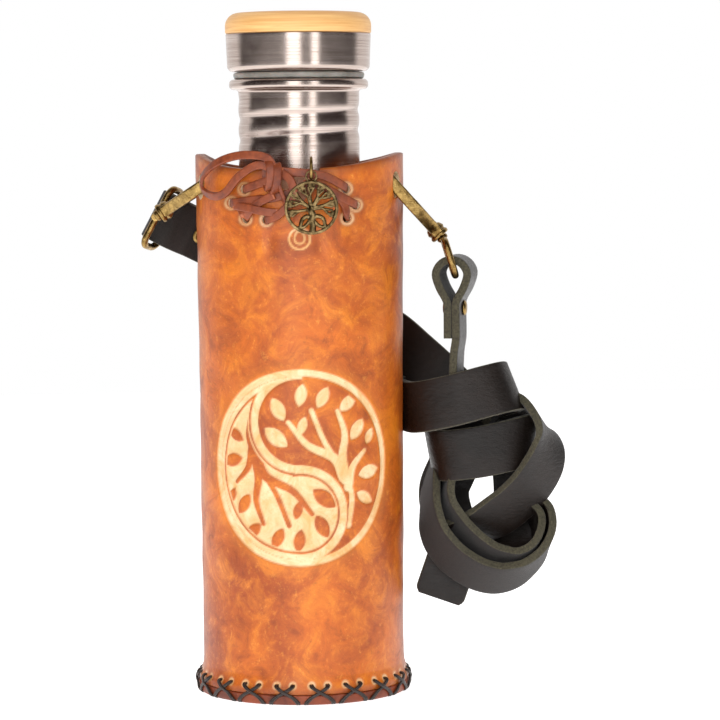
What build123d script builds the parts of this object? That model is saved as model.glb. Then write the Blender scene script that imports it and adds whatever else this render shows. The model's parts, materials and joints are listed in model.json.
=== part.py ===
from build123d import *
import os
from math import cos, degrees, atan2, pi, radians, sin, sqrt

# Canteen: a single-wall steel bottle with a bamboo-topped screw cap in a laced leather sleeve,
# carried by a leather strap that hooks into the sleeve's two ears.
# Millimetres. Origin at the centre of the sleeve's underside, +Z up, front of the sleeve at -Y,
# +X towards the ear that carries the knotted end of the strap.

# Driving sizes
bottle_r = 36.5
neck_r = 24.1
steel = 0.8
leather = 3.1
sleeve_gap = 0.7
base_t = 4.0
hem_r = 42.4
ear_top_z = 215.0
front_dip_z = 209.3
cap_r = 28.9
strap_w = 20.5
strap_t = 3.2
thong_w = 3.2
thong_t = 1.4
soft_gap = 0.3

# Bottle heights
bottle_floor_z = base_t + soft_gap
shoulder_low_z = 188.0
shoulder_high_z = 208.0
rim_low_z = 240.8
rim_high_z = 244.4
rim_r = 27.7
rim_round = 1.5

# Screw thread
pitch = 8.0
thread_turns = 2.0
neck_thread_z = 219.5
neck_rib = 1.6
plug_core_r = 21.2
plug_rib = 1.3
plug_bore_r = 18.0
plug_floor_t = 3.0
flange_r = 26.0
flange_t = 3.0

# Cap heights
seal_low_z = rim_high_z + 0.2
seal_high_z = 247.1
shell_low_z = 247.4
shell_high_z = 262.4
cap_top_z = 270.7
plug_low_z = 221.0
collar_r = 22.7
cap_wall = 1.0
cap_corner = 2.5
cap_top_round = 5.0
spigot_in_r = 12.0
spigot_h = 4.0

# Sleeve wall
wall_in_r = bottle_r + sleeve_gap
wall_out_r = wall_in_r + leather
mouth_flare = 1.0
flare_low_z = 150.0
flare_high_z = 195.0
ear_flat_x = 38.5

# Stitching
stitch_count = 19
stitch_cord_r = 0.5
stitch_low_z = 2.0
stitch_high_z = 7.6
stitch_spread = 0.36
seam_stitch_count = 16
seam_stitch_low_z = 20.0
seam_stitch_step = 11.5
seam_stitch_w = 7.0

# Ears and hooks
ear_x = 36.75
ear_z = 203.4
arm_y = 15.0
arm_w = 3.2
hook_t = 4.0
ear_hole_r = 6.7
ear_hole_play = 1.4
right_bow_u = -4.5
left_bow_u = 2.0
collar_u = 25.5
collar_len = 4.0
collar_out_r = 3.9
stub_r = 1.5
bore_r = 1.56
eye_wire_r = 1.4
eye_half_w = 12.3
eye_depth = 14.6
eye_gap = 1.8
right_slope = 48.3
left_slope = 32.5
left_tuck = 6.5
right_eye_slope = 73.0
left_eye_turn = 20.0
left_eye_setback = 7.5
gate_low_u = 8.0
gate_high_u = 12.5
gate_fork_end_u = 17.6
gate_pivot_u = 15.2
gate_pin_r = 0.8
gate_fork_t = 2.4

# Strap
fold_in_r = 4.3
fold_out_r = fold_in_r + strap_t
fold_taper = 9.5
fold_end = 23.0
rivet_at = 13.3
rivet_r = 1.2
rivet_head_r = 3.6
drop_low_z = 129.2
back_slope = 28.0
back_dir = 29.0
back_apex_y = 45.0
knot_front_y = -13.0
knot_back_y = 25.0

# Front lacing, as heights and sideways places on the front of the sleeve
notch_half_w = 9.0
notch_low_z = 193.5
left_lace_holes = [(-20.8, 201.5), (-26.0, 196.1), (-20.4, 190.0), (-12.2, 189.6)]
right_lace_holes = [(18.7, 201.3), (22.5, 195.0), (19.0, 190.0)]
lace_bands = [
    ((-20.8, 201.5), (-6.0, 206.5)),
    ((-26.0, 196.1), (-4.0, 200.3)),
    ((-12.2, 189.6), (-5.5, 206.0)),
    ((18.7, 201.3), (1.0, 210.4)),
    ((22.5, 195.0), (8.0, 200.6)),
    ((19.0, 190.0), (12.0, 199.0)),
    ((-20.4, 190.0), (-14.0, 197.5)),
]
lace_hole_r = 1.9
lace_peg_r = 1.4

# Medallion
charm_x = 5.4
charm_z = 194.4
charm_y = -46.1
charm_r = 10.4
charm_t = 1.5
eyelet_hole_r = 1.7
eyelet_out_r = 2.3
jump_r = 4.3
jump_wire_r = 0.55
jump_y = -43.3
jump_z = 209.3


def save(name, part):
    """Write one node's solids."""
    part.label = name
    export_step(part, f"parts/{name}.step")


def turned(points):
    """A solid of revolution about Z from a closed outline of (radius, height) points."""
    face = make_face(Plane.XZ * Polyline(*points, close=True))
    return revolve(face, Axis.Z)


def tube_z(outer, inner, low, high):
    """A plain ring about Z."""
    ring = Cylinder(outer, high - low) - Cylinder(inner, high - low + 2)
    return Pos(0, 0, (low + high) / 2) * ring


def prism_y(points, y_low, y_high):
    """An outline of (x, z) points, extruded between two Y planes."""
    face = make_face(Plane.XZ * Polyline(*points, close=True))
    return Pos(0, y_low, 0) * extrude(face, y_high - y_low, dir=(0, 1, 0))


def helical_rib(centre_r, rib_r, low_z, turns):
    """A round rib wound right-handed about Z."""
    path = Pos(0, 0, low_z) * Helix(pitch, pitch * turns, centre_r)
    section = Plane(path @ 0, z_dir=path % 0) * Circle(rib_r)
    return sweep(section, path=path, is_frenet=True)


# Bottle and cap


def bottle_body():
    """Thin steel bottle: straight body, rounded shoulder, threaded neck and rolled rim."""
    outer = bottle_profile(0.0)
    inner = bottle_profile(steel)
    shell = revolve(outer, Axis.Z) - revolve(inner, Axis.Z)
    rim_mid_r = (rim_r + neck_r) / 2
    rim = tube_z(rim_r, neck_r - steel, rim_low_z, rim_high_z)
    rim_edges = rim.edges().filter_by(GeomType.CIRCLE).filter_by(lambda e: e.radius > rim_mid_r)
    body = shell + fillet(rim_edges, rim_round)
    body += helical_rib(neck_r - steel + 0.2, neck_rib, neck_thread_z, thread_turns)
    groove = helical_rib(neck_r + neck_rib - steel, neck_rib, neck_thread_z, thread_turns)
    return body - groove


def bottle_profile(inset):
    """Half outline of the bottle, moved inwards by inset, from the floor to the mouth."""
    body = bottle_r - inset
    neck = neck_r - inset
    floor = bottle_floor_z + inset
    corner = 5.0 - inset
    bulge = 8.0
    top = rim_high_z if inset == 0 else rim_high_z + 1
    outline = [
        Line((0, floor), (body - corner, floor)),
        RadiusArc((body - corner, floor), (body, floor + corner), -corner),
        Line((body, floor + corner), (body, shoulder_low_z)),
        ThreePointArc(
            (body, shoulder_low_z),
            (body - bulge * 0.55, shoulder_low_z + bulge),
            (neck + 4.0, shoulder_high_z - 4.0 + inset * 0.4),
        ),
        Line((neck + 4.0, shoulder_high_z - 4.0 + inset * 0.4), (neck, shoulder_high_z)),
        Line((neck, shoulder_high_z), (neck, top)),
        Line((neck, top), (0, top)),
        Line((0, top), (0, floor)),
    ]
    return make_face([Plane.XZ * edge for edge in outline])


def cap_shell():
    """Steel cup of the cap, open at the top, with a hole for the plug in its floor."""
    cup = Pos(0, 0, (shell_low_z + shell_high_z) / 2) * Cylinder(cap_r, shell_high_z - shell_low_z)
    cup = fillet(cup.edges().sort_by(Axis.Z)[0], cap_corner)
    hollow_low = shell_low_z + cap_wall
    hollow = Cylinder(cap_r - cap_wall, shell_high_z - hollow_low + 1)
    hollow = Pos(0, 0, (hollow_low + shell_high_z + 1) / 2) * hollow
    hollow = fillet(hollow.edges().sort_by(Axis.Z)[0], cap_corner - cap_wall)
    hole = Pos(0, 0, shell_low_z) * Cylinder(collar_r + 0.1, 8)
    return cup - hollow - hole


def cap_top_disc():
    """Bamboo disc closing the cap, with a rounded upper edge and a spigot inside the cup."""
    disc_low = shell_high_z + 0.05
    disc = Pos(0, 0, (disc_low + cap_top_z) / 2) * Cylinder(cap_r, cap_top_z - disc_low)
    disc = fillet(disc.edges().sort_by(Axis.Z)[-1], cap_top_round)
    disc = chamfer(disc.edges().sort_by(Axis.Z)[0], 0.5)
    spigot = tube_z(cap_r - cap_wall - 0.2, spigot_in_r, disc_low - spigot_h, disc_low + 0.5)
    return disc + spigot


def cap_plug():
    """Screw plug of the cap: flange inside the cup, collar through the seal, hollow threaded end."""
    flange_low = shell_low_z + cap_wall + 0.05
    plug = tube_z(flange_r, plug_bore_r, flange_low, flange_low + flange_t)
    plug += tube_z(collar_r, plug_bore_r, seal_low_z - 1.5, flange_low + 0.5)
    plug += tube_z(plug_core_r, plug_bore_r, plug_low_z, seal_low_z)
    plug += Pos(0, 0, plug_low_z + plug_floor_t / 2) * Cylinder(plug_bore_r + 0.5, plug_floor_t)
    thread_low = neck_thread_z + pitch / 2
    return plug + helical_rib(plug_core_r + 0.3, plug_rib, thread_low, thread_turns - 0.35)


def cap_gasket():
    """Silicone seal ring between the cap and the bottle's rim."""
    return tube_z(25.8, collar_r + 0.35, seal_low_z, seal_high_z)


# Sleeve


def sleeve_wall():
    """Leather tube with flared hem, dipped mouth, ears, notch, lace holes and hook holes."""
    wall = turned(
        [
            (wall_in_r, base_t + 0.05),
            (hem_r, base_t + 0.05),
            (hem_r - 0.2, 6.5),
            (wall_out_r + 0.3, 10.0),
            (wall_out_r, 13.0),
            (wall_out_r, flare_low_z),
            (wall_out_r + mouth_flare, flare_high_z),
            (wall_out_r + mouth_flare, ear_top_z),
            (wall_in_r + mouth_flare, ear_top_z),
            (wall_in_r + mouth_flare, flare_high_z),
            (wall_in_r, flare_low_z),
        ]
    )
    wall -= mouth_cut()
    wall -= notch_cut()
    for x, z in left_lace_holes + right_lace_holes:
        wall -= front_peg(x, z, lace_hole_r, wall_in_r - 3, wall_out_r + 3)
    for x in (-ear_x, ear_x):
        for y in (-arm_y, arm_y):
            slot = Rot(90, 0, 0) * Cylinder(ear_hole_r, arm_w + 2 * ear_hole_play)
            wall -= Pos(x, y, ear_z) * slot
    return wall


def mouth_cut():
    """Everything above the mouth's edge, which dips between the two ears."""
    far = 60.0
    outline = [
        ThreePointArc((-ear_flat_x, ear_top_z), (0, front_dip_z), (ear_flat_x, ear_top_z)),
        Line((ear_flat_x, ear_top_z), (ear_flat_x, ear_top_z + far)),
        Line((ear_flat_x, ear_top_z + far), (-ear_flat_x, ear_top_z + far)),
        Line((-ear_flat_x, ear_top_z + far), (-ear_flat_x, ear_top_z)),
    ]
    face = make_face([Plane.XZ * edge for edge in outline])
    return extrude(face, far, both=True)


def notch_cut():
    """Rounded notch in the front of the mouth, where the tongue shows."""
    low = notch_half_w * 0.55
    points = [
        (-notch_half_w, ear_top_z),
        (-low, notch_low_z + low),
        (0, notch_low_z),
        (low, notch_low_z + low),
        (notch_half_w, ear_top_z),
    ]
    return prism_y(points, -60, -20)


def front_peg(x, z, r, r_low, r_high):
    """A round peg set square to the front of the sleeve at (x, z)."""
    angle = degrees(atan2(x, sqrt(wall_out_r**2 - x**2)))
    peg = Rot(90, 0, 0) * Cylinder(r, r_high - r_low)
    return Rot(0, 0, angle) * Pos(0, -(r_low + r_high) / 2, z) * peg


def sleeve_base():
    """Thick leather disc sewn under the wall."""
    disc = Pos(0, 0, base_t / 2) * Cylinder(hem_r, base_t)
    disc = fillet(disc.edges().sort_by(Axis.Z)[0], 1.2)
    return disc


def base_stitching():
    """Waxed cord crosses over the hem: a thin ring of X-shaped stitches outside the leather."""
    crosses = []
    half_step = radians(360 / stitch_count) * stitch_spread
    low_r = hem_r + 0.95
    high_r = hem_r + 0.75
    for index in range(stitch_count):
        middle = 2 * pi * index / stitch_count
        for side in (-1, 1):
            start = on_circle(low_r, middle - side * half_step, stitch_low_z)
            end = on_circle(high_r, middle + side * half_step, stitch_high_z)
            crosses.append(round_bar(start, end, stitch_cord_r))
    return crosses


def on_circle(r, angle, z):
    """A point at an angle round Z, measured from the front."""
    return Vector(r * sin(angle), -r * cos(angle), z)


def round_bar(start, end, r):
    """A plain round bar between two points."""
    axis = end - start
    middle = (start + end) * 0.5
    return Plane(middle, z_dir=axis) * Cylinder(r, axis.length)


def back_seam_stitching():
    """Short stitches down the butted seam at the back of the sleeve."""
    stitches = []
    for index in range(seam_stitch_count):
        z = seam_stitch_low_z + index * seam_stitch_step
        flare = max(0.0, (z - flare_low_z) / (flare_high_z - flare_low_z)) * mouth_flare
        place = Pos(0, wall_out_r + 0.75 + flare, z)
        stitches.append(place * Box(seam_stitch_w, 2 * stitch_cord_r, 1.2))
    return stitches


def neck_tongue():
    """Soft leather tongue behind the notch, inside the wall."""
    shell = tube_z(bottle_r + 1.4, bottle_r + soft_gap, 188.5, 207.0)
    window = prism_y([(-15, 180), (15, 180), (13, 215), (-13, 215)], -60, 0)
    return shell & window


# Front lacing and bow


def band_shell(low_r, high_r):
    """A thin ring of space just outside the sleeve's front."""
    return tube_z(high_r, low_r, 180.0, 220.0)


def flat_band(start, end, width):
    """A flat strand between two (x, z) places on the front, as a prism through the front wall."""
    (x0, z0), (x1, z1) = start, end
    length = sqrt((x1 - x0) ** 2 + (z1 - z0) ** 2)
    angle = degrees(atan2(z1 - z0, x1 - x0))
    strip = Rot(0, 0, angle) * SlotOverall(length + width, width)
    placed = Plane.XZ * (Pos((x0 + x1) / 2, (z0 + z1) / 2) * strip)
    return Pos(0, -20, 0) * extrude(placed, 50)


def front_lacing():
    """Flat leather thong laced across the notch, with a peg through each hole."""
    low_r = wall_out_r + mouth_flare + 0.1
    shell = band_shell(low_r, low_r + thong_t)
    prism = flat_band(*lace_bands[0], thong_w)
    for start, end in lace_bands[1:]:
        prism += flat_band(start, end, thong_w)
    lacing = shell & prism
    for x, z in left_lace_holes + right_lace_holes:
        lacing += front_peg(x, z, lace_peg_r, wall_in_r + 0.9, low_r + 0.5)
    return lacing


def bow_knot():
    """The bow's knot, as one rounded lump on the front of the lacing."""
    lump = fillet(Box(11.0, 5.6, 9.0).edges(), 2.2)
    return Rot(0, 0, -12) * Pos(0, -48.2, 207.2) * Rot(0, -20, 0) * lump


def bow_loop():
    """The bow's long loop, laid round the sleeve towards the ear: outer shape only."""
    points = [
        (-17.0, 204.4),
        (-17.0, 213.4),
        (-24.0, 214.6),
        (-33.0, 211.6),
        (-39.4, 205.4),
        (-38.6, 198.6),
        (-31.0, 198.0),
        (-22.0, 202.0),
    ]
    low_r = wall_out_r + mouth_flare + thong_t + 0.4
    ring = tube_z(low_r + 3.4, low_r, 180.0, 225.0)
    return ring & prism_y(points, -60, -10)


# Medallion


def medallion():
    """Openwork charm: rim, trunk, branches and roots, with a small eyelet on top."""
    rim = Circle(charm_r) - Circle(charm_r - 1.1)
    trunk = make_face(Polyline((-1.4, -4.5), (1.4, -4.5), (0.9, 1.5), (-0.9, 1.5), close=True))
    tree = rim + trunk
    for index in range(9):
        angle = 90 + (index - 4) * 24
        branch = Pos(0, 1.0) * Rot(0, 0, angle) * Pos(4.6, 0) * Rectangle(10.2, 0.9)
        tree += branch & Circle(charm_r - 0.5)
    for angle in (-125, -90, -55):
        root = Pos(0, -3.5) * Rot(0, 0, angle) * Pos(3.0, 0) * Rectangle(8.0, 1.2)
        tree += root & Circle(charm_r - 0.5)
    eyelet = Pos(0, charm_r + eyelet_hole_r) * (Circle(eyelet_out_r) - Circle(eyelet_hole_r))
    eyelet -= Circle(charm_r - 0.6)
    plate = extrude(tree + eyelet, charm_t / 2, both=True)
    return Pos(charm_x, charm_y, charm_z) * Rot(90, 0, 0) * plate


def medallion_ring():
    """Jump ring round the lace and through the medallion's eyelet."""
    return Pos(charm_x, jump_y, jump_z) * Rot(0, 90, 0) * Torus(jump_r, jump_wire_r)


# Hooks. Each hook has a local frame: u from the ear along the hook, v across it, and its
# thickness square to both, with the frame's origin where the arms cross the sleeve's wall.


def hook_frame(side):
    """Local frame of the hook on one side: +1 for the knotted end, -1 for the other."""
    slope = radians(right_slope if side > 0 else left_slope)
    along = Vector(side * cos(slope), 0, -sin(slope))
    up = Vector(side * sin(slope), 0, cos(slope))
    tuck = 0.0 if side > 0 else left_tuck
    origin = Vector(side * ear_x, 0, ear_z) - along * tuck
    return Plane(origin, x_dir=along, z_dir=up)


def hook_body(side):
    """Cast hook: bow, plain arm, cut arm for the gate, and a collar bored for the swivel."""
    half = arm_y + arm_w / 2
    inner = arm_y - arm_w / 2
    bow_u = right_bow_u if side > 0 else left_bow_u
    outer_points = [
        (bow_u - arm_w / 2, half),
        (13.5, half),
        (24.0, 6.6),
        (28.5, 4.2),
    ]
    inner_points = [
        (bow_u + arm_w / 2, inner),
        (12.4, inner),
        (21.6, 4.0),
        (26.4, 4.0),
    ]
    outline = mirrored_outline(outer_points, 3.0)
    window = mirrored_outline(inner_points, 1.6)
    gate_v = side * arm_y
    gap = span_rectangle(gate_low_u, gate_high_u, gate_v, arm_w + 1.0)
    body = extrude(outline - window - gap, hook_t / 2, both=True)
    fork = span_rectangle(gate_low_u, gate_fork_end_u, gate_v, arm_w + 1.0)
    body -= extrude(fork, gate_fork_t / 2, both=True)
    collar = Pos(collar_u + collar_len / 2, 0, 0) * Rot(0, 90, 0) * Cylinder(collar_out_r, collar_len)
    bore = Pos(collar_u, 0, 0) * Rot(0, 90, 0) * Cylinder(bore_r, 3 * collar_len)
    pin_hole = Pos(gate_pivot_u, gate_v, 0) * Cylinder(gate_pin_r + 0.03, hook_t + 2)
    return hook_frame(side) * (body + collar - bore - pin_hole)


def span_rectangle(u_low, u_high, v, width):
    """A rectangle along u, centred on v."""
    return Pos((u_low + u_high) / 2, v) * Rectangle(u_high - u_low, width)


def mirrored_outline(points, corner):
    """A closed outline from points on its +v side, mirrored across the hook, with rounded corners."""
    other = [(u, -v) for u, v in reversed(points)]
    face = make_face(Polyline(*points, *other, close=True))
    return fillet(face.vertices(), corner)


def hook_gate(side):
    """Sprung gate: a short bar with a thin tang on the pin."""
    gate_v = side * arm_y
    bar = extrude(span_rectangle(gate_low_u + 0.2, gate_high_u - 0.6, gate_v, arm_w), hook_t / 2, both=True)
    tang = span_rectangle(gate_high_u - 1.0, gate_pivot_u, gate_v, arm_w - 0.4)
    tang += Pos(gate_pivot_u, gate_v) * Circle(arm_w / 2 - 0.2)
    tang = extrude(tang, gate_fork_t / 2 - 0.15, both=True)
    hole = Pos(gate_pivot_u, gate_v, 0) * Cylinder(gate_pin_r + 0.05, hook_t + 2)
    return hook_frame(side) * (bar + tang - hole)


def gate_pin(side):
    """Pin of the gate, as long as the hook is thick."""
    pin = Pos(gate_pivot_u, side * arm_y, 0) * Cylinder(gate_pin_r, hook_t)
    return hook_frame(side) * pin


def eye_centre(side):
    """Middle of the swivel eye's near bar, past the hook's collar; the left one is set back."""
    setback = 0 if side > 0 else left_eye_setback
    return neck_end(side) + Vector(0, setback, 0)


def neck_end(side):
    """Point on the hook's axis where the swivel eye's neck ends."""
    frame = hook_frame(side)
    return frame.origin + frame.x_dir * (collar_u + collar_len + eye_gap)


def eye_frame(side):
    """Local frame of the eye: x along its bars, y from the near bar to the far one."""
    if side > 0:
        slope = radians(right_eye_slope)
        away = Vector(cos(slope), 0, -sin(slope))
        return Plane(eye_centre(side), x_dir=(0, 1, 0), z_dir=Vector(0, 1, 0).cross(away))
    turn = radians(left_eye_turn)
    back = back_plane()
    away = back.x_dir * sin(turn) + back.y_dir * cos(turn)
    return Plane(eye_centre(side), x_dir=back.z_dir, z_dir=back.z_dir.cross(away))


def swivel_eye(side):
    """Wire eye for the strap, with a headed stub that turns in the hook's collar."""
    path = Pos(0, eye_depth / 2) * RectangleRounded(2 * eye_half_w, eye_depth, 3.2)
    loop_path = path.wire()
    section = Plane(loop_path @ 0, z_dir=loop_path % 0) * Circle(eye_wire_r)
    loop = eye_frame(side) * sweep(section, path=loop_path)
    high_u = collar_u + collar_len + eye_gap
    low_u = collar_u - 2.2
    shaft = Pos((low_u + high_u) / 2, 0, 0) * Rot(0, 90, 0) * Cylinder(stub_r, high_u - low_u)
    head = Pos(low_u + 0.6, 0, 0) * Rot(0, 90, 0) * Cylinder(2.5, 1.6)
    shoulder = Pos(high_u - 0.1, 0, 0) * Rot(0, 90, 0) * Cylinder(2.3, 2.8)
    eye = loop + hook_frame(side) * (shaft + head + shoulder)
    if side < 0:
        eye += round_bar(neck_end(side), eye_centre(side), 1.7)
    return eye


# Strap


def back_plane():
    """Plane in which the strap runs behind the sleeve: x to the right and down, y to the back."""
    slope = radians(back_slope)
    normal = Vector(sin(slope), 0, cos(slope))
    centre = eye_centre(-1)
    mid_z = centre.Z + centre.X * sin(slope) / cos(slope)
    return Plane((0, 0, mid_z), x_dir=(cos(slope), 0, -sin(slope)), z_dir=normal)


def strap_fold():
    """Section of the strap's folded and riveted end: the fold at the origin, layers along +x."""
    flat = Pos((fold_taper + fold_end) / 2, 0) * Rectangle(fold_end - fold_taper, 2 * strap_t)
    start = Pos(fold_taper, 0) * Rectangle(0.2, 2 * strap_t)
    outer = make_hull(Circle(fold_out_r).edges() + start.edges())
    point = Pos(fold_taper - 3.0, 0) * Rectangle(0.4, 0.4)
    inner = make_hull(Circle(fold_in_r).edges() + point.edges())
    return outer + flat - inner


def rivet(half_grip):
    """Two-headed rivet along Z, centred on the strap's layers."""
    shank = Cylinder(rivet_r, 2 * half_grip)
    head = Cylinder(rivet_head_r, 1.3)
    head = fillet(head.edges().sort_by(Axis.Z)[-1], 1.0)
    cap_head = Pos(0, 0, half_grip + 0.65) * head
    return shank + cap_head + Rot(180, 0, 0) * cap_head


def right_fold_frame():
    """Section frame of the right strap end: x down the strap, y to the outside."""
    frame = eye_frame(1)
    fold = frame.origin + frame.y_dir * eye_depth
    return Plane(fold, x_dir=(0, 0, -1), z_dir=(0, 1, 0))


def left_fold_frame():
    """Section frame of the left strap end, in the plane of the run behind the sleeve."""
    frame = eye_frame(-1)
    fold = frame.origin + frame.y_dir * eye_depth
    run = radians(back_dir)
    back = back_plane()
    along = back.x_dir * cos(run) + back.y_dir * sin(run)
    return Plane(fold, x_dir=along, z_dir=back.z_dir)


def rivet_frame(fold):
    """Frame at a strap end's rivet, with z square to the layers."""
    return Plane(fold.origin + fold.x_dir * rivet_at, x_dir=fold.x_dir, z_dir=fold.y_dir)


def strap_end(fold, outer_side, length):
    """Strap end: fold, two layers, and the long layer on its outer side, to the given length."""
    low = min(0, outer_side * strap_t)
    long_layer = Pos((fold_end + length) / 2, low + strap_t / 2) * Rectangle(length - fold_end, strap_t)
    solid = fold * extrude(strap_fold() + long_layer, strap_w / 2, both=True)
    hole = rivet_frame(fold) * Cylinder(rivet_r + 0.05, 4 * strap_t)
    return solid - hole


def right_strap_drop():
    """Strap end below the right hook, down to the knot."""
    fold = right_fold_frame()
    outer_side = 1 if fold.y_dir.X > 0 else -1
    return strap_end(fold, outer_side, fold.origin.Z - drop_low_z)


def left_strap_end():
    """Strap end beside the left ear, to where it starts round the back of the sleeve."""
    return strap_end(left_fold_frame(), 1, fold_end + 2.0)


def strap_back_run():
    """Strap round the back of the sleeve, from the left end to the knot."""
    fold = left_fold_frame()
    back = back_plane()
    start_world = fold.origin + fold.x_dir * (fold_end + 2.4) + fold.y_dir * (strap_t / 2)
    start = back.to_local_coords(start_world)
    run = radians(back_dir)
    rise = TangentArc((start.X, start.Y), (0, back_apex_y), tangent=(cos(run), sin(run)))
    fall = TangentArc((0, back_apex_y), (45.5, 26.0), tangent=rise % 1)
    tail = Line(fall @ 1, (fall @ 1) + (fall % 1) * 12.0)
    ribbon = trace(Wire([rise, fall, tail]), strap_t)
    return back * extrude(ribbon, strap_w / 2, both=True)


def strap_knot():
    """Outer shape of the loose knot in the strap."""
    points = [
        (44.0, 112.0),
        (48.0, 121.0),
        (58.0, 126.5),
        (79.0, 130.8),
        (88.0, 118.0),
        (97.0, 110.0),
        (107.5, 94.0),
        (105.5, 80.0),
        (98.5, 58.0),
        (82.0, 43.0),
        (66.0, 34.0),
        (47.5, 42.0),
        (53.0, 62.0),
        (50.0, 88.0),
        (44.0, 98.0),
    ]
    return prism_y(points, knot_front_y, knot_back_y)


def main():
    os.makedirs("parts", exist_ok=True)
    save("bottle_body", bottle_body())
    save("cap_shell", cap_shell())
    save("cap_top_disc", cap_top_disc())
    save("cap_plug", cap_plug())
    save("cap_gasket", cap_gasket())
    save("sleeve_wall", sleeve_wall())
    save("sleeve_base", sleeve_base())
    save("base_stitching", Compound(base_stitching()))
    save("back_seam_stitching", Compound(back_seam_stitching()))
    save("neck_tongue", neck_tongue())
    save("front_lacing", front_lacing())
    save("bow_knot", bow_knot())
    save("bow_loop", bow_loop())
    save("medallion", medallion())
    save("medallion_ring", medallion_ring())
    for name, side in (("right", 1), ("left", -1)):
        save(f"{name}_hook_body", hook_body(side))
        save(f"{name}_hook_gate", hook_gate(side))
        save(f"{name}_gate_pin", gate_pin(side))
        save(f"{name}_swivel_eye", swivel_eye(side))
    save("right_strap_drop", right_strap_drop())
    save("right_strap_rivet", rivet_frame(right_fold_frame()) * rivet(strap_t))
    save("left_strap_end", left_strap_end())
    save("left_strap_rivet", rivet_frame(left_fold_frame()) * rivet(strap_t))
    save("strap_back_run", strap_back_run())
    save("strap_knot", strap_knot())


main()
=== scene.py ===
import json
from math import cos, pi, radians, sin

import bmesh
import bpy
import numpy as np
from mathutils import Matrix, Vector


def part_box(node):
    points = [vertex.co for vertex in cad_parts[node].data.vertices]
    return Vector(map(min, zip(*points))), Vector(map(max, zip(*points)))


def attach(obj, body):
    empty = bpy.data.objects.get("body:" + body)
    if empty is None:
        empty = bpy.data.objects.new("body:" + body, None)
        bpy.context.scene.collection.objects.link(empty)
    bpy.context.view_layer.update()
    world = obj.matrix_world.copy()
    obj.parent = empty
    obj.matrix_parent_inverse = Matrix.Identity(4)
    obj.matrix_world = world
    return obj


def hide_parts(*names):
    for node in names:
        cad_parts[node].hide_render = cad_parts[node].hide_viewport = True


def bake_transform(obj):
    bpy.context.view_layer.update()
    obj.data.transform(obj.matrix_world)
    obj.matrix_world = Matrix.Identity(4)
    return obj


# Canteen: steel bottle with a bamboo-topped cap, laced leather sleeve, brass hooks and a knotted strap.
# Sizes are in millimetres and are turned into metres where a mesh is made. The front is -Y, +Z is up.

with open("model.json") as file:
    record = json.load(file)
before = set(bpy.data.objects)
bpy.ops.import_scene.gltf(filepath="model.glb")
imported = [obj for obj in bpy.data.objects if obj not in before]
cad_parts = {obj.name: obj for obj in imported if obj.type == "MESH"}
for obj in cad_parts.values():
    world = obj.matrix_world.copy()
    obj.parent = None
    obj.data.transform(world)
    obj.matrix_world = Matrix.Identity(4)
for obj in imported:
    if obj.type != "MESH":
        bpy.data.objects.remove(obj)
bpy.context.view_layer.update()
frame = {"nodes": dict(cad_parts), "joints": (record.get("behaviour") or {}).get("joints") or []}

MM = 0.001
random = np.random.default_rng(7)

# Sizes shared with the CAD model
leather = 3.1
strap_w = 20.5
strap_t = 3.2
thong_w = 3.2
thong_t = 1.4
thong_corner = 0.42
arm_w = 3.2
arm_y = 15.0
hook_t = 4.7
gate_pivot_u = 15.2
collar_u = 25.5
collar_len = 4.0
right_bow_u = -4.5
left_bow_u = 2.0
eye_u = 31.3
eye_wire_r = 1.4
eye_half_w = 12.7
eye_depth = 14.6
eye_corner = 6.0
left_eye_setback = 7.5
right_eye_slope = 73.0
left_eye_turn = 20.0
back_slope = 28.0
back_dir = 29.0
fold_mid_r = 6.3
fold_taper = 9.5
fold_end = 23.0
rivet_at = 13.3
pitch = 8.0


# Numbers and points


def smoothstep(low, high, value):
    """0 below low, 1 above high, and smooth between them."""
    t = np.clip((value - low) / (high - low), 0.0, 1.0)
    return t * t * (3 - 2 * t)


def unit(vectors):
    """Vectors of length 1, along the last axis."""
    vectors = np.asarray(vectors, float)
    return vectors / np.linalg.norm(vectors, axis=-1, keepdims=True)


def node_low(name):
    """Lowest corner of a CAD node, in millimetres."""
    return np.array(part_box(name)[0]) / MM


def node_high(name):
    """Highest corner of a CAD node, in millimetres."""
    return np.array(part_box(name)[1]) / MM


def joint(name):
    """The record's joint of that name."""
    return next(j for j in frame["joints"] if j["name"] == name)


def joint_point(name):
    """Where a joint's axis passes, in millimetres."""
    return np.array(joint(name)["pos_m"], float) / MM


def joint_axis(name):
    """Direction of a joint's axis."""
    return unit(joint(name)["axis"])


def side_name(side):
    """Name of a side: the right one carries the knot."""
    return "right" if side > 0 else "left"


def towards_axis(points, distance):
    """Each point moved towards the Z axis by its distance."""
    r = np.hypot(points[:, 0], points[:, 1])
    scale = 1 - distance / np.maximum(r, 1.0)
    return points * np.stack([scale, scale, np.ones_like(scale)], axis=1)


def evenly(dense, step):
    """Evenly spaced points on a dense polyline, with any further columns carried along."""
    steps = np.linalg.norm(np.diff(dense[:, :3], axis=0), axis=1)
    lengths = np.concatenate([[0.0], np.cumsum(steps)])
    count = max(3, int(round(lengths[-1] / step)) + 1)
    places = np.linspace(0.0, lengths[-1], count)
    columns = [np.interp(places, lengths, dense[:, k]) for k in range(dense.shape[1])]
    return np.stack(columns, axis=1)


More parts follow.
